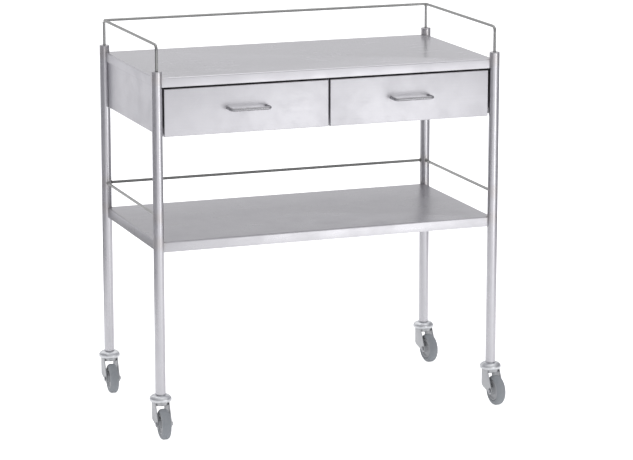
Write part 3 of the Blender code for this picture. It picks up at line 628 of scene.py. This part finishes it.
# Painted shade: the lower shelf's steel is darkened for the shade it stands in under the top shelf.
SHADED_SHELF_STEEL = steel(
    "brushed_shelf_painted_shade", shade(STEEL, 0.83), 0.28, ALONG_X, 0.03, 0.0, (LOWER_SURFACE_Z,),
    streaks=0.02, scratch=0.1,
)
FRONT_STEEL = steel(
    "brushed_front", shade(STEEL, 1.01), 0.42, ALONG_X, 0.05, 0.01,
    smudge_size=18.0, crevice_shade=0.1, scratch=0.3,
)
PANEL_STEEL = steel("brushed_panel", shade(STEEL, 1.03), 0.36, ALONG_Y, 0.10, 0.05, scratch=0.3)
BACK_STEEL = steel("brushed_back", shade(STEEL, 0.98), 0.36, ALONG_X, 0.10, 0.05, scratch=0.3)
TRAY_STEEL = steel("tray_sheet", shade(STEEL, 0.92), 0.38, ALONG_X, 0.08, 0.05, smudge_size=10.0)
TUBE_STEEL = steel(
    "polished_tube", STEEL, 0.27, ALONG_Z, 0.004, 0.0, FRAME_WELDS, streaks=0.02, scratch=0.2
)
# Lit and shaded copies of one drawn steel: the lower back run painted darkest, the top rail darker, the
# lower side runs and posts lighter.
ROD_X_STEEL = rod_finish("polished_rod_lengthways", 0.60, ALONG_X, (LOWER_RAIL_Z,))
SHADED_LOWER_ROD_STEEL = rod_finish("polished_rod_low_painted_shade", 0.44, ALONG_X, (LOWER_RAIL_Z,))
ROD_Y_STEEL = rod_finish("polished_rod_crossways", 0.80, ALONG_Y, (LOWER_RAIL_Z,))
POST_STEEL = rod_finish("polished_post", 0.84, ALONG_Z)
# Painted shade: the handle's polished steel is darkened to a dark bar.
SHADED_HANDLE_STEEL = steel(
    "polished_handle_painted_shade", shade(STEEL, 0.66), 0.26, ALONG_X, 0.02, 0.01, smudge_size=60.0
)
RAIL_STEEL = steel("zinc_rail", ZINC_RAIL, 0.36, ALONG_Y, 0.05, 0.03, smudge_size=30.0)
HEAD_STEEL = steel(
    "bright_zinc", BRIGHT_ZINC, 0.32, EVERY_WAY, 0.02, 0.01, smudge_size=70.0, crevice_shade=0.3
)
FORK_STEEL = steel(
    "pressed_zinc", PRESSED_ZINC, 0.40, EVERY_WAY, 0.02, 0.01, smudge_size=70.0, crevice_shade=0.2
)
BOLT_STEEL = steel(
    "bolt_steel", PLAIN_STEEL, 0.32, FINE_EVERY_WAY, 0.02, 0.0, smudge_size=120.0, crevice_shade=0.4
)
TYRE_RUBBER = moulded("grey_tyre", RUBBER, DUSTY_RUBBER, 0.50, 0.40, 0.35)
HUB_PLASTIC = moulded("grey_hub", PLASTIC, DUSTY_PLASTIC, 0.42, 0.35, 0.15)


def wear_finish(piece, material):
    """Gives a piece one finish, in place of any it has."""
    piece.data.materials.clear()
    piece.data.materials.append(material)


def fit_piece(piece, material, body, slot, *nodes):
    """Finishes a new piece, makes it ride on its body, and puts it in place of CAD nodes."""
    wear_finish(piece, material)
    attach(piece, body)
    if nodes:
        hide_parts(*nodes)
    return piece


# ---------------------------------------------------------------- legs, caps and guard rails

ROD_SIDES = 32
TURNED_SIDES = 72
TUBE_END_CHAMFER = 0.0003
CAP_ROUNDING = 0.0009
CAP_HOLE_WIDENING = 0.0006  # of the countersink round a rod, at the cap's top
CAP_HOLE_DEPTH = 0.0002
RAIL_BENDS = (0.012, 0.007, 0.007, 0.012)  # centre-line radii, from the front left leg to the front right
POST_BEAD = 0.0011
POST_BEAD_DROP = 0.0012  # below the post's top
POST_TOP_RING = 0.0010
RAIL_BEAD = 0.0014


def under_leg(corner):
    """The point on the floor below a leg's axis."""
    return (leg_at[corner].x, leg_at[corner].y, 0)


def build_legs():
    bore = LEG_RADIUS - LEG_WALL
    for corner in CORNERS:
        tube = [
            (bore, TUBE_HIGH_Z),
            (LEG_RADIUS - TUBE_END_CHAMFER, TUBE_HIGH_Z),
            (LEG_RADIUS, TUBE_HIGH_Z - TUBE_END_CHAMFER),
            (LEG_RADIUS, TUBE_LOW_Z + TUBE_END_CHAMFER),
            (LEG_RADIUS - TUBE_END_CHAMFER, TUBE_LOW_Z),
            (bore, TUBE_LOW_Z),
        ]
        leg = lathe(f"leg_tube_{corner}", tube, TURNED_SIDES, under_leg(corner))
        fit_piece(leg, TUBE_STEEL, "root", "polished_tube", f"leg_{corner}")

        low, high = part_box(f"leg_cap_{corner}")
        hole = ROD_RADIUS + GAP / 2
        spigot = bore - GAP
        crown = arc((LEG_RADIUS - CAP_ROUNDING, high.z - CAP_ROUNDING), CAP_ROUNDING, 90, 0, 4)
        cap = [
            (hole, high.z - CAP_HOLE_DEPTH),
            (hole + CAP_HOLE_WIDENING, high.z),
            *crown,
            (LEG_RADIUS, TUBE_HIGH_Z + GAP),
            (spigot, TUBE_HIGH_Z + GAP),
            (spigot, low.z),
            (hole, low.z),
        ]
        lid = lathe(f"tube_cap_{corner}", cap, TURNED_SIDES, under_leg(corner))
        fit_piece(lid, TUBE_STEEL, "root", "polished_tube", f"leg_cap_{corner}")


def weld_bead(name, at, thickness, facing):
    """A small ground-down weld ring round a rod's end, flat against what it is welded to."""
    inside = ROD_RADIUS - GAP / 3
    profile = [(inside, 0), *arc((ROD_RADIUS, 0), thickness, 0, 90, 5), (inside, thickness)]
    turn = Vector((0, 0, 1)).rotation_difference(Vector(facing)).to_matrix().to_4x4()
    return lathe(name, profile, ROD_SIDES, at, turn, 60)


def build_top_rail():
    low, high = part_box("top_rail")
    rail_z = high.z - ROD_RADIUS
    front_y, back_y = leg_at["front_left"].y, leg_at["back_left"].y
    corners = [
        (-LEG_X, front_y, low.z),
        (-LEG_X, front_y, rail_z),
        (-LEG_X, back_y, rail_z),
        (LEG_X, back_y, rail_z),
        (LEG_X, front_y, rail_z),
        (LEG_X, front_y, low.z),
    ]
    rail = swept_rod("guard_rail_top", bent_path(corners, RAIL_BENDS), ROD_RADIUS, ROD_SIDES)
    fit_piece(rail, ROD_X_STEEL, "root", "polished_rod", "top_rail")


def build_rail_posts():
    for side in SIDES:
        low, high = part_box(f"rail_post_{side}")
        leg = leg_at[f"back_{side}"]
        path = [(leg.x, leg.y, z) for z in (low.z, high.z - POST_TOP_RING, high.z)]
        rod = swept_rod(f"rail_upright_{side}", path, ROD_RADIUS, ROD_SIDES)
        bead_at = (leg.x, leg.y, high.z - POST_BEAD_DROP)
        bead = weld_bead(f"bead_{side}", bead_at, POST_BEAD, (0, 0, -1))
        post = joined(f"rail_upright_{side}", [rod, bead])
        smooth_over(post, 50)
        fit_piece(post, POST_STEEL, "root", "polished_rod", f"rail_post_{side}")


def build_lower_rails():
    runs = {
        "left": ((0, 1, 0), ROD_Y_STEEL),
        "right": ((0, 1, 0), ROD_Y_STEEL),
        "back": ((1, 0, 0), SHADED_LOWER_ROD_STEEL),
    }
    for name, (along, finish) in runs.items():
        along = Vector(along)
        low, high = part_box(f"lower_rail_{name}")
        centre = (low + high) / 2
        half = (high - low).dot(along) / 2
        ends = [centre - along * half, centre + along * half]
        rod = swept_rod(f"rod_{name}", ends, ROD_RADIUS, ROD_SIDES)
        beads = [
            weld_bead(f"bead_{name}_{index}", end, RAIL_BEAD, inward)
            for index, (end, inward) in enumerate(zip(ends, (along, -along)))
        ]
        whole = joined(f"guard_rail_lower_{name}", [rod, *beads])
        smooth_over(whole, 50)
        fit_piece(whole, finish, "root", "polished_rod", f"lower_rail_{name}")


# ---------------------------------------------------------------- shelves

SHELF_BEND = 0.0030
SHELVES = {  # a shelf, how wide the hem under its lip is, and its finish
    "top_shelf": (0.010, TOP_STEEL),
    "lower_shelf": (0.012, SHADED_SHELF_STEEL),
}


def leg_cutters(low_z, high_z):
    """Round cutters that clear the legs at the four corners of a shelf."""
    radius = LEG_RADIUS + GAP
    profile = [(0, low_z), (radius, low_z), (radius, high_z), (0, high_z)]
    return [lathe(f"clear_{corner}", profile, TURNED_SIDES, under_leg(corner)) for corner in CORNERS]


def build_shelves():
    for node, (hem, finish) in SHELVES.items():
        low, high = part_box(node)
        shelf = folded_pan(f"{node}_sheet", low, high, (0, 0, -1), SHELF_BEND, SHEET, hem)
        settle(shelf)
        cut(shelf, *leg_cutters(low.z - CUTTER_OVERRUN, high.z + CUTTER_OVERRUN))
        smooth_over(shelf, 35)
        fit_piece(shelf, finish, "root", "brushed_sheet", node)


# ---------------------------------------------------------------- drawers

FRONT_BEND = 0.0016
FRONT_HEM = 0.006
TRAY_BEND = 0.0022
TRAY_HEM = 0.005
HANDLE_RADIUS = 0.0039
HANDLE_BEND = 0.0095


def build_fronts_and_trays():
    for side in SIDES:
        body = f"drawer_{side}"
        low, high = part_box(f"drawer_front_{side}")
        front = folded_pan(
            f"front_panel_{side}", low, high, (0, 1, 0), FRONT_BEND, THIN_SHEET, FRONT_HEM
        )
        fit_piece(front, FRONT_STEEL, body, "brushed_sheet", f"drawer_front_{side}")

        low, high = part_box(f"drawer_tray_{side}")
        tray = folded_pan(
            f"tray_{side}", low, high, (0, 0, 1), TRAY_BEND, THIN_SHEET, TRAY_HEM, hem_out=True
        )
        fit_piece(tray, TRAY_STEEL, body, "inner_sheet", f"drawer_tray_{side}")


def build_handles():
    for side in SIDES:
        low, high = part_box(f"drawer_handle_{side}")
        z = (low.z + high.z) / 2
        left, right = low.x + HANDLE_RADIUS, high.x - HANDLE_RADIUS
        bar_y, foot_y = low.y + HANDLE_RADIUS, high.y
        corners = [(left, foot_y, z), (left, bar_y, z), (right, bar_y, z), (right, foot_y, z)]
        path = bent_path(corners, (HANDLE_BEND, HANDLE_BEND), 16)
        handle = swept_rod(f"handle_{side}", path, HANDLE_RADIUS, 36)
        round_edges(handle, SMALL_ROUNDING, angle=60)
        fit_piece(handle, SHADED_HANDLE_STEEL, f"drawer_{side}", "polished_rod", f"drawer_handle_{side}")


# ---------------------------------------------------------------- casters

# A caster is made in its own frame: the swivel's axis at 0, the wheel trailing towards -Y.
WHEEL_AT = {corner: middle(f"wheel_tyre_{corner}") for corner in CORNERS}
WHEEL_RADIUS = span("wheel_tyre_front_left").z / 2
TRAIL = (WHEEL_AT["front_left"] - leg_at["front_left"]).xy.length
AXLE = (0, -TRAIL, WHEEL_RADIUS)
ACROSS = Euler((0, math.pi / 2, 0)).to_matrix().to_4x4()  # turns a lathed piece on to the axle's line
UPRIGHT = Euler((math.pi / 2, 0, 0)).to_matrix().to_4x4()
SEEN_FROM_SIDE = Matrix(((0, 0, -1, 0), (-1, 0, 0, 0), (0, 1, 0, 0), (0, 0, 0, 1)))

# The head that the leg stands on
HEAD_RIM = 0.0045  # height of the head's widest place above its bottom
HEAD_ROUNDING = 0.0015
HEAD_RECESS = 0.0012
COLLAR = 0.0006
STEM_CHAMFER = 0.0012
KING_PIN_RADIUS = 0.0050
RIVET_RADIUS = 0.0080
RIVET_HEIGHT = 0.0026
RIVET_ROUNDING = 0.0024

# The fork
FORK_HALF_WIDTH = 0.0180  # over the plates, at the axle
FORK_SHEET = 0.0022
CUP_RADIUS = 0.02175  # of the cup under the head
CUP_WRAP = 8  # degrees that the cup's curve carries on, ahead of the swivel's axis
PLATES_NARROW_OVER = 0.0200
FORK_BACK = 0.0150  # from the swivel's axis back to the plates' edge
HEEL_HEIGHT = 0.0110  # the plates' lower back corner, above the axle
HEEL_ROUNDING = 0.0045
CROWN_FRONT = 0.0180
CROWN_LIP = 0.0015
SLOT_HALF_WIDTH = 0.0126
SLOT_ROUNDING = 0.0060
SLOT_DEPTH = 0.0600
PIN_HOLE_RADIUS = 0.0055
AXLE_HOLE_RADIUS = 0.0043
CUP_RIM_ABOVE_WHEEL = 0.0045
CUP_RIM_BEAD = 0.0011
CUP_RIM_PROUD = 0.0002

# The axle
AXLE_RADIUS = 0.0040
AXLE_CHAMFER = 0.0004
AXLE_PAST_FORK = 0.0028
WASHER = 0.0008
WASHER_RADIUS = 0.0060
WASHER_PLAY = 0.0001
NUT_ACROSS_FLATS = 0.0100
NUT_TURN = 0.3  # radians, as the last spanner left it
NUT_SHORTER = 0.0002  # than the bolt's head

# The wheel
HALF_TREAD = 0.0110
TREAD_SEAM = 0.0003
TYRE_DEPTH = 0.0120
TYRE_ROUNDING = 0.0080
HUB_PLAY = 0.0010  # between a hub's boss and a plate
HUB_BORE = 0.0045
HUB_BOSS = 0.0095
HUB_WEB = 0.0070  # half the web's thickness


def caster_stand(corner):
    """From a caster's own frame to where it stands and how it is turned."""
    away = WHEEL_AT[corner] - leg_at[corner]
    turned = Matrix.Rotation(math.atan2(away.x, -away.y), 4, "Z")
    return Matrix.Translation(under_leg(corner)) @ turned


def mirrored(side):
    """A half profile of (radius, height) points, carried on to the other side."""
    return [*side, *((radius, -height) for radius, height in reversed(side))]


def rod_profile(radius, low, high):
    """The profile of a plain round cutter."""
    return [(0, low), (radius, low), (radius, high), (0, high)]


def build_mounts():
    for corner in CORNERS:
        low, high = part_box(f"caster_mount_{corner}")
        head = span(f"caster_mount_{corner}").x / 2
        stem = LEG_RADIUS - LEG_WALL - GAP
        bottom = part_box(f"caster_fork_{corner}")[1].z + GAP
        rim = bottom + HEAD_RIM
        top = TUBE_LOW_Z - GAP
        collar_bottom = top - COLLAR
        dome = [
            (LEG_RADIUS + (head - LEG_RADIUS) * across, rim + (collar_bottom - rim) * up)
            for across, up in arc((0, 0), 1, 90, 0, 12)
        ]
        rivet_side = (RIVET_RADIUS - RIVET_ROUNDING, low.z + RIVET_ROUNDING)
        profile = [
            (0, high.z),
            (stem - STEM_CHAMFER, high.z),
            (stem, high.z - STEM_CHAMFER),
            (stem, top),
            (LEG_RADIUS - 0.0002, top),
            (LEG_RADIUS, top - 0.0003),
            (LEG_RADIUS, collar_bottom + 0.0004),
            *dome,
            *arc((head - HEAD_ROUNDING, bottom + HEAD_ROUNDING), HEAD_ROUNDING, 0, -90, 5),
            (head - 0.0034, bottom),
            (head - 0.0040, bottom + HEAD_RECESS),
            (KING_PIN_RADIUS, bottom + HEAD_RECESS),
            (KING_PIN_RADIUS, low.z + RIVET_HEIGHT),
            (RIVET_RADIUS, low.z + RIVET_HEIGHT),
            *arc(rivet_side, RIVET_ROUNDING, 0, -90, 5),
            (0, low.z),
        ]
        mount = lathe(f"caster_head_{corner}", profile, TURNED_SIDES, under_leg(corner))
        fit_piece(mount, HEAD_STEEL, "root", "plated_steel", f"caster_mount_{corner}")


def extruded(name, outline, thickness, turn):
    """A closed outline in its own XY plane as a solid, centred on that plane, then placed."""
    shape = bmesh.new()
    points = [shape.verts.new((x, y, -thickness / 2)) for x, y in outline]
    base = shape.faces.new(points)
    made = bmesh.ops.extrude_face_region(shape, geom=[base])["geom"]
    verts = [item for item in made if isinstance(item, bmesh.types.BMVert)]
    bmesh.ops.translate(shape, verts=verts, vec=(0, 0, thickness))
    shape.transform(turn)
    return piece_from(name, shape)


def fork_plan(inset, boss):
    """The fork from above: the cup's curve behind, and two straight plates out past the axle."""
    front = -TRAIL - 2 * boss - inset
    cup = arc((0, 0), CUP_RADIUS - inset, -CUP_WRAP, 180 + CUP_WRAP, 40)
    plate = FORK_HALF_WIDTH - inset
    left = [(-plate, -PLATES_NARROW_OVER), (-plate, front)]
    return [*cup, *left, *((-x, y) for x, y in reversed(left))]


def fork_side(top, boss):
    """The plates from the side: down the back to the heel, round the axle and up to the crown."""
    heel = WHEEL_RADIUS + HEEL_HEIGHT
    crown_bottom = top - FORK_SHEET
    return [
        (-FORK_BACK, top + CUTTER_REACH),
        (-FORK_BACK, heel + 0.0055),
        *arc((-FORK_BACK + HEEL_ROUNDING, heel + 0.0050), HEEL_ROUNDING, 180, 262, 6),
        *arc((TRAIL, WHEEL_RADIUS), boss, 252, 395, 24),
        (0.0222, crown_bottom - 0.0085),
        (0.0200, crown_bottom - 0.0030),
        (0.0186, crown_bottom - 0.0012),
        (CROWN_FRONT, crown_bottom),
        (CROWN_FRONT, top + CUTTER_REACH),
    ]


def fork_slot(slot_top):
    """The opening under the crown, in front and behind, with its upper corners rounded."""
    bottom = slot_top - SLOT_DEPTH
    corner_x, corner_z = SLOT_HALF_WIDTH - SLOT_ROUNDING, slot_top - SLOT_ROUNDING
    return [
        (-SLOT_HALF_WIDTH, bottom),
        (SLOT_HALF_WIDTH, bottom),
        *arc((corner_x, corner_z), SLOT_ROUNDING, 0, 90, 6),
        *arc((-corner_x, corner_z), SLOT_ROUNDING, 90, 180, 6),
    ]


def cup_rim(name, top):
    """The rim that goes all the way round the cup, so it also closes the front above the wheel."""
    outside = CUP_RADIUS + CUP_RIM_PROUD
    inside = CUP_RADIUS - FORK_SHEET - CUP_RIM_PROUD
    bead_z = WHEEL_RADIUS * 2 + CUP_RIM_ABOVE_WHEEL + CUP_RIM_BEAD
    upper = top - 0.0008
    profile = [
        (inside, upper),
        (outside, upper),
        (outside, bead_z),
        *arc((outside - CUP_RIM_BEAD, bead_z), CUP_RIM_BEAD, 0, -180, 8),
        (inside, bead_z + 0.0001),
    ]
    return lathe(name, profile, 96)


def build_forks():
    for corner in CORNERS:
        node = f"caster_fork_{corner}"
        low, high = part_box(node)
        top = high.z
        boss = WHEEL_RADIUS - low.z
        crown_bottom = top - FORK_SHEET
        height = top - low.z + 2 * boss
        deep = height + CUTTER_OVERRUN
        body = extruded(
            f"fork_{corner}", fork_plan(0, boss), height, Matrix.Translation((0, 0, top - height / 2))
        )
        hollow = extruded(
            f"hollow_{corner}", fork_plan(FORK_SHEET, boss), deep,
            Matrix.Translation((0, 0, crown_bottom - deep / 2)),
        )
        shape = extruded(f"side_{corner}", fork_side(top, boss), 0.1, SEEN_FROM_SIDE)
        slot = extruded(f"slot_{corner}", fork_slot(crown_bottom - CROWN_LIP), 0.16, UPRIGHT)
        through_crown = rod_profile(PIN_HOLE_RADIUS, top - CUTTER_REACH, top + CUTTER_REACH)
        hole = lathe(f"pin_hole_{corner}", through_crown, 40)
        through_plates = rod_profile(AXLE_HOLE_RADIUS, -0.04, 0.04)
        bore = lathe(f"axle_hole_{corner}", through_plates, 32, AXLE, ACROSS)
        cut(body, hollow)
        cut(body, shape, operation="INTERSECT")
        cut(body, slot, hole, bore)
        round_edges(body, SMALL_ROUNDING, angle=40)
        settle(body)
        cut(body, cup_rim(f"cup_rim_{corner}", top), operation="UNION")
        body.data.transform(caster_stand(corner))
        smooth_over(body, 30)
        fit_piece(body, FORK_STEEL, f"swivel_{corner}", "plated_steel", node)


def hexagon(name, height, at, turn):
    """A nut or bolt head with rounded corners."""
    radius = NUT_ACROSS_FLATS / math.sqrt(3)
    angles = [math.tau * step / 6 for step in range(6)]
    outline = [(radius * math.cos(angle), radius * math.sin(angle)) for angle in angles]
    solid = extruded(name, outline, height, turn)
    solid.data.transform(Matrix.Translation(at))
    round_edges(solid, SMALL_ROUNDING, angle=20)
    return solid


def build_axles():
    centre = Vector(AXLE)
    half = FORK_HALF_WIDTH + GAP
    end = half + AXLE_PAST_FORK
    head_height = end - half - WASHER
    head_middle = Vector((end - head_height / 2, 0, 0))
    shaft_profile = [
        (0, -end + 2 * AXLE_CHAMFER),
        (AXLE_RADIUS - AXLE_CHAMFER, -end + AXLE_CHAMFER),
        (AXLE_RADIUS, -half),
        (AXLE_RADIUS, half),
        (0, half),
    ]
    ring_bore = AXLE_RADIUS + WASHER_PLAY
    ring = [
        (ring_bore, half), (WASHER_RADIUS, half), (WASHER_RADIUS, half + WASHER), (ring_bore, half + WASHER)
    ]
    for corner in CORNERS:
        shaft = lathe(f"shaft_{corner}", shaft_profile, 32, centre, ACROSS)
        washers = [
            lathe(f"washer_a_{corner}", ring, 32, centre, ACROSS),
            lathe(f"washer_b_{corner}", [(radius, -z) for radius, z in ring], 32, centre, ACROSS),
        ]
        head = hexagon(f"head_{corner}", head_height, centre + head_middle, ACROSS)
        nut = hexagon(
            f"nut_{corner}", head_height - NUT_SHORTER, centre - head_middle,
            ACROSS @ Matrix.Rotation(NUT_TURN, 4, "Z"),
        )
        axle = joined(f"axle_bolt_{corner}", [shaft, *washers, head, nut])
        smooth_over(axle, 30)
        axle.data.transform(caster_stand(corner))
        fit_piece(axle, BOLT_STEEL, f"swivel_{corner}", "fastener_steel", f"caster_axle_{corner}")


def build_wheels():
    rim = WHEEL_RADIUS - TYRE_DEPTH
    crown_centre = (WHEEL_RADIUS - TYRE_ROUNDING, HALF_TREAD - TYRE_ROUNDING)
    tyre_side = [
        (rim, HALF_TREAD - 0.0022),
        (rim + 0.0004, HALF_TREAD - 0.0018),
        (rim + 0.0012, HALF_TREAD - 0.0012),
        (rim + 0.0020, HALF_TREAD - 0.0002),
        *arc(crown_centre, TYRE_ROUNDING, 90, 0, 12),
        (WHEEL_RADIUS, TREAD_SEAM),
    ]
    half_boss = FORK_HALF_WIDTH - FORK_SHEET - HUB_PLAY
    outer = rim - GAP
    hub_side = [
        (HUB_BORE, half_boss - 0.0004),
        (HUB_BORE + 0.0004, half_boss),
        (HUB_BOSS - 0.0010, half_boss),
        (HUB_BOSS, half_boss - 0.0010),
        (HUB_BOSS + 0.0004, HUB_WEB + 0.0015),
        (HUB_BOSS + 0.0016, HUB_WEB + 0.0006),
        (outer - 0.0062, HUB_WEB),
        (outer - 0.0050, HUB_WEB + 0.0002),
        (outer - 0.0040, HUB_WEB + 0.0010),
        (outer - 0.0034, HALF_TREAD - 0.0014),
        (outer - 0.0028, HALF_TREAD - 0.0009),
        (outer - 0.0006, HALF_TREAD - 0.0009),
        (outer, HALF_TREAD - 0.0015),
    ]
    for corner in CORNERS:
        tyre = lathe(f"tyre_{corner}", mirrored(tyre_side), 96, AXLE, ACROSS, 50)
        tyre.data.transform(caster_stand(corner))
        fit_piece(tyre, TYRE_RUBBER, f"wheel_{corner}", "grey_rubber", f"wheel_tyre_{corner}")

        hub = lathe(f"hub_{corner}", mirrored(hub_side), TURNED_SIDES, AXLE, ACROSS, 40)
        hub.data.transform(caster_stand(corner))
        fit_piece(hub, HUB_PLASTIC, f"wheel_{corner}", "hub_plastic", f"wheel_hub_{corner}")


# ---------------------------------------------------------------- CAD nodes that keep their shape


def finish_cad_nodes():
    kept = {
        "case_side_left": PANEL_STEEL,
        "case_side_right": PANEL_STEEL,
        "case_back": BACK_STEEL,
        "case_divider": PANEL_STEEL,
    }
    for side in SIDES:
        for wall in ("inner", "outer"):
            kept[f"fixed_rail_{side}_{wall}"] = RAIL_STEEL
            kept[f"sliding_rail_{side}_{wall}"] = RAIL_STEEL
        for number in (1, 2):
            kept[f"handle_screw_{side}_{number}"] = BOLT_STEEL
    for node, material in kept.items():
        wear_finish(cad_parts[node], material)


# ---------------------------------------------------------------- studio

# How bright the room is towards the front, towards the back, and low down against overhead
WORLD_FRONT = 0.64
WORLD_BACK = 0.92
WORLD_HORIZON = 0.58
ROOM_TINT = (0.985, 0.98, 1.0, 1.0)

FLOOR_REACH = 30
FLOOR_COLOUR = (0.80, 0.80, 0.81, 1)
FLOOR_GLOW = 0.35  # as the cart is lit by it
FLOOR_GLOW_SEEN = 0.80

CLOTH_GREY = 0.40
CLOTH_HEIGHTS = (0.002, 2.2)
MAT_GREY = 0.25
MAT_HEIGHT = 0.003

LENS = 158.41
SEEN_UP_TO = 200
CAMERA_AT = (-2.350, -6.474 + CENTRE_Y, 1.9485)
CAMERA_TURN = (77.593, 0.0, -20.336)


def area_light(name, at, aim, size, power):
    data = bpy.data.lights.new(name, "AREA")
    data.shape = "RECTANGLE"
    data.size, data.size_y = size
    data.energy = power
    light = bpy.data.objects.new(name, data)
    bpy.context.scene.collection.objects.link(light)
    light.location = at
    light.rotation_euler = (Vector(aim) - Vector(at)).to_track_quat("-Z", "Y").to_euler()
    light.visible_camera = False


def dark_sheet(name, corners, grey):
    """A dark sheet beside the cart, which only the steel sees: it darkens no floor and casts no shadow."""
    shape = bmesh.new()
    shape.faces.new([shape.verts.new(corner) for corner in corners])
    cloth = piece_from(name, shape, None)
    material, tree, shader = principled(f"{name}_cloth", 0.0, 0.0)
    shader.inputs["Roughness"].default_value = 1.0
    shader.inputs["Base Color"].default_value = (grey, grey, grey * 1.04, 1)
    cloth.data.materials.append(material)
    cloth.visible_camera = False
    cloth.visible_diffuse = False
    cloth.visible_shadow = False


def hang_cloth(name, x, y_range):
    (near, far), (low, high) = y_range, CLOTH_HEIGHTS
    dark_sheet(name, [(x, near, low), (x, far, low), (x, far, high), (x, near, high)], CLOTH_GREY)


def lay_mat(name, x_range, y_range):
    (left, right), (near, far) = x_range, y_range
    z = MAT_HEIGHT
    dark_sheet(name, [(left, near, z), (right, near, z), (right, far, z), (left, far, z)], MAT_GREY)


def light_room():
    """A pale room, darker to the front and low down in reflections, and white where it is seen."""
    world = bpy.data.worlds.new("studio")
    bpy.context.scene.world = world
    world.use_nodes = True
    tree = world.node_tree
    tree.nodes.clear()
    direction = add(tree, "ShaderNodeTexCoord").outputs["Generated"]
    parts = add(tree, "ShaderNodeSeparateXYZ", Vector=direction)
    front = spread(tree, parts.outputs["Y"], -1.0, 0.6, WORLD_FRONT, WORLD_BACK)
    up = spread(tree, parts.outputs["Z"], 0.05, 0.5, WORLD_HORIZON, 1.0)
    in_view = add(tree, "ShaderNodeLightPath").outputs["Is Camera Ray"]
    strength = math_node(tree, "MAXIMUM", math_node(tree, "MULTIPLY", front, up), in_view)
    room = add(tree, "ShaderNodeBackground", Strength=strength)
    room.inputs["Color"].default_value = ROOM_TINT
    add(tree, "ShaderNodeOutputWorld", Surface=room.outputs[0])


def lay_floor():
    floor_shape = bmesh.new()
    bmesh.ops.create_grid(floor_shape, x_segments=1, y_segments=1, size=FLOOR_REACH)
    floor = piece_from("studio_floor", floor_shape, None)
    material, tree, shader = principled("pale_floor", 0.0, 0.0)
    shader.inputs["Roughness"].default_value = 0.9
    shader.inputs["Base Color"].default_value = FLOOR_COLOUR
    shader.inputs["Emission Color"].default_value = (1, 1, 1, 1)
    seen = add(tree, "ShaderNodeLightPath").outputs["Is Camera Ray"]
    glow = spread(tree, seen, 0, 1, FLOOR_GLOW, FLOOR_GLOW_SEEN)
    tree.links.new(glow, shader.inputs["Emission Strength"])
    floor.data.materials.append(material)


def build_studio():
    bpy.context.scene.view_settings.view_transform = "Standard"
    bpy.context.scene.view_settings.look = "None"
    light_room()
    lay_floor()

    lay_mat("left_mat", (-2.0, -0.85), (0.9, 2.6))
    hang_cloth("left_cloth", -1.7, (-2.4, 1.6))
    hang_cloth("right_cloth", 1.9, (-1.6, 1.8))

    area_light("front_soft_box", (0.90, -2.3, 0.42), (0.1, 0, 0.75), (0.85, 0.8), 3.3)
    area_light("overhead_soft_box", (0.3, 0.4, 3.2), (0, 0.1, 0.6), (2.6, 2.0), 10)


def build_camera():
    data = bpy.data.cameras.new("camera")
    data.lens = LENS
    data.sensor_width = 36.0
    data.clip_end = SEEN_UP_TO
    camera = bpy.data.objects.new("camera", data)
    bpy.context.scene.collection.objects.link(camera)
    camera.location = CAMERA_AT
    camera.rotation_euler = tuple(math.radians(angle) for angle in CAMERA_TURN)
    bpy.context.scene.camera = camera


build_legs()
build_top_rail()
build_rail_posts()
build_lower_rails()
build_shelves()
build_fronts_and_trays()
build_handles()
build_mounts()
build_forks()
build_axles()
build_wheels()
finish_cad_nodes()
build_studio()
build_camera()
